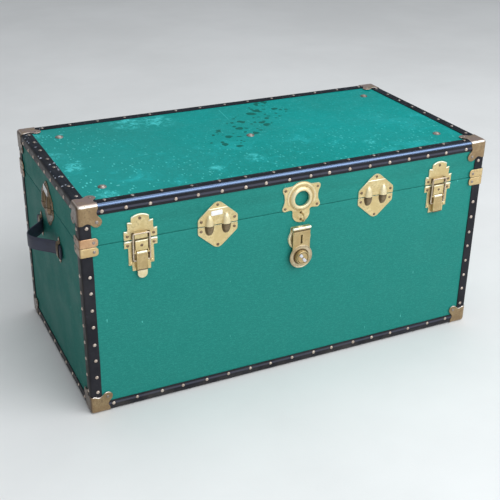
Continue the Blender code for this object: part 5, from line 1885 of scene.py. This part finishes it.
def make_lid_studs():
    """Five domed studs with cup washers through the lid."""
    spots = [(0.0, MIDDLE_Y)]
    for x in (LEFT_X + STUD_END, RIGHT_X - STUD_END):
        for y in (FRONT_Y + STUD_FRONT, REAR_Y - STUD_FRONT):
            spots.append((x, y))
    piece = Piece("lid_studs")
    for x, y in spots:
        place = on_face((x, y, TOP_Z - 0.0004), Z_AXIS, Y_AXIS)
        washer = turned([
            (0.0088, 0.0), (0.0087, 0.0008), (0.0078, 0.0018), (0.0066, 0.0023), (0.0056, 0.0019),
            (0.0050, 0.0002),
        ], 36, closed=True)
        piece.add(washer, STUD_WASHER, place)
        head = turned([
            (0.0056, 0.0002), (0.0055, 0.0016), (0.0048, 0.0028), (0.0034, 0.0036), (0.0016, 0.0040),
            (0.0, 0.0040),
        ], 28)
        piece.add(head, RUST, place)
    piece.finish("lid", "steel_wire")


# ------------------------------------------------------------- stage
CAMERA_AT = (-0.8501, -1.7542, 1.1363)
CAMERA_RIGHT = (0.90244, -0.43061, 0.01342)
CAMERA_DOWN = (-0.17979, -0.40474, -0.89658)
CAMERA_FORWARD = (0.39151, 0.80669, -0.44267)
LENS = 67.5
SENSOR = 36.0
SKY = (0.86, 0.92, 1.0, 1.0)
SKY_STRENGTH = 0.40
FLOOR_SIZE = 14.0
AIM = (0.0, 0.0, 0.2)


def make_camera():
    data = bpy.data.cameras.new("camera")
    data.lens = LENS
    data.sensor_width = SENSOR
    data.clip_start = 0.02
    data.clip_end = 60.0
    camera = bpy.data.objects.new("camera", data)
    bpy.context.scene.collection.objects.link(camera)
    turn = Matrix((Vector(CAMERA_RIGHT), -Vector(CAMERA_DOWN), -Vector(CAMERA_FORWARD))).transposed()
    camera.matrix_world = Matrix.Translation(CAMERA_AT) @ turn.to_4x4()
    bpy.context.scene.camera = camera


def make_light(name, at, aim, size, power, colour):
    data = bpy.data.lights.new(name, "AREA")
    data.shape = "RECTANGLE"
    data.size = size[0]
    data.size_y = size[1]
    data.energy = power
    data.color = colour
    item = bpy.data.objects.new(name, data)
    bpy.context.scene.collection.objects.link(item)
    item.location = at
    item.rotation_euler = (Vector(aim) - Vector(at)).to_track_quat("-Z", "Y").to_euler()


def make_stage():
    shape = bmesh.new()
    bmesh.ops.create_grid(shape, x_segments=40, y_segments=40, size=FLOOR_SIZE)
    mesh = raw_mesh(shape)
    mesh.materials.append(floor_finish("pale_floor"))
    floor = bpy.data.objects.new("floor", mesh)
    bpy.context.scene.collection.objects.link(floor)
    world = bpy.data.worlds.new("studio")
    bpy.context.scene.world = world
    world.use_nodes = True
    background = world.node_tree.nodes["Background"]
    background.inputs["Color"].default_value = SKY
    background.inputs["Strength"].default_value = SKY_STRENGTH
    make_light("sky_front", (1.2, -2.8, 2.8), AIM, (5.4, 3.8), 205.0, (0.90, 0.95, 1.0))
    make_light("sky_top", (0.4, 0.9, 3.7), AIM, (3.4, 2.4), 40.0, (0.92, 0.96, 1.0))
    bpy.context.scene.view_settings.view_transform = "Standard"
    bpy.context.scene.view_settings.look = "None"


def main():
    make_panels()
    make_lining()
    make_bindings()
    make_caps()
    make_clamps()
    make_latches()
    make_dowels()
    make_lock()
    make_handles()
    make_rear_hinges()
    make_lid_studs()
    make_camera()
    make_stage()


main()
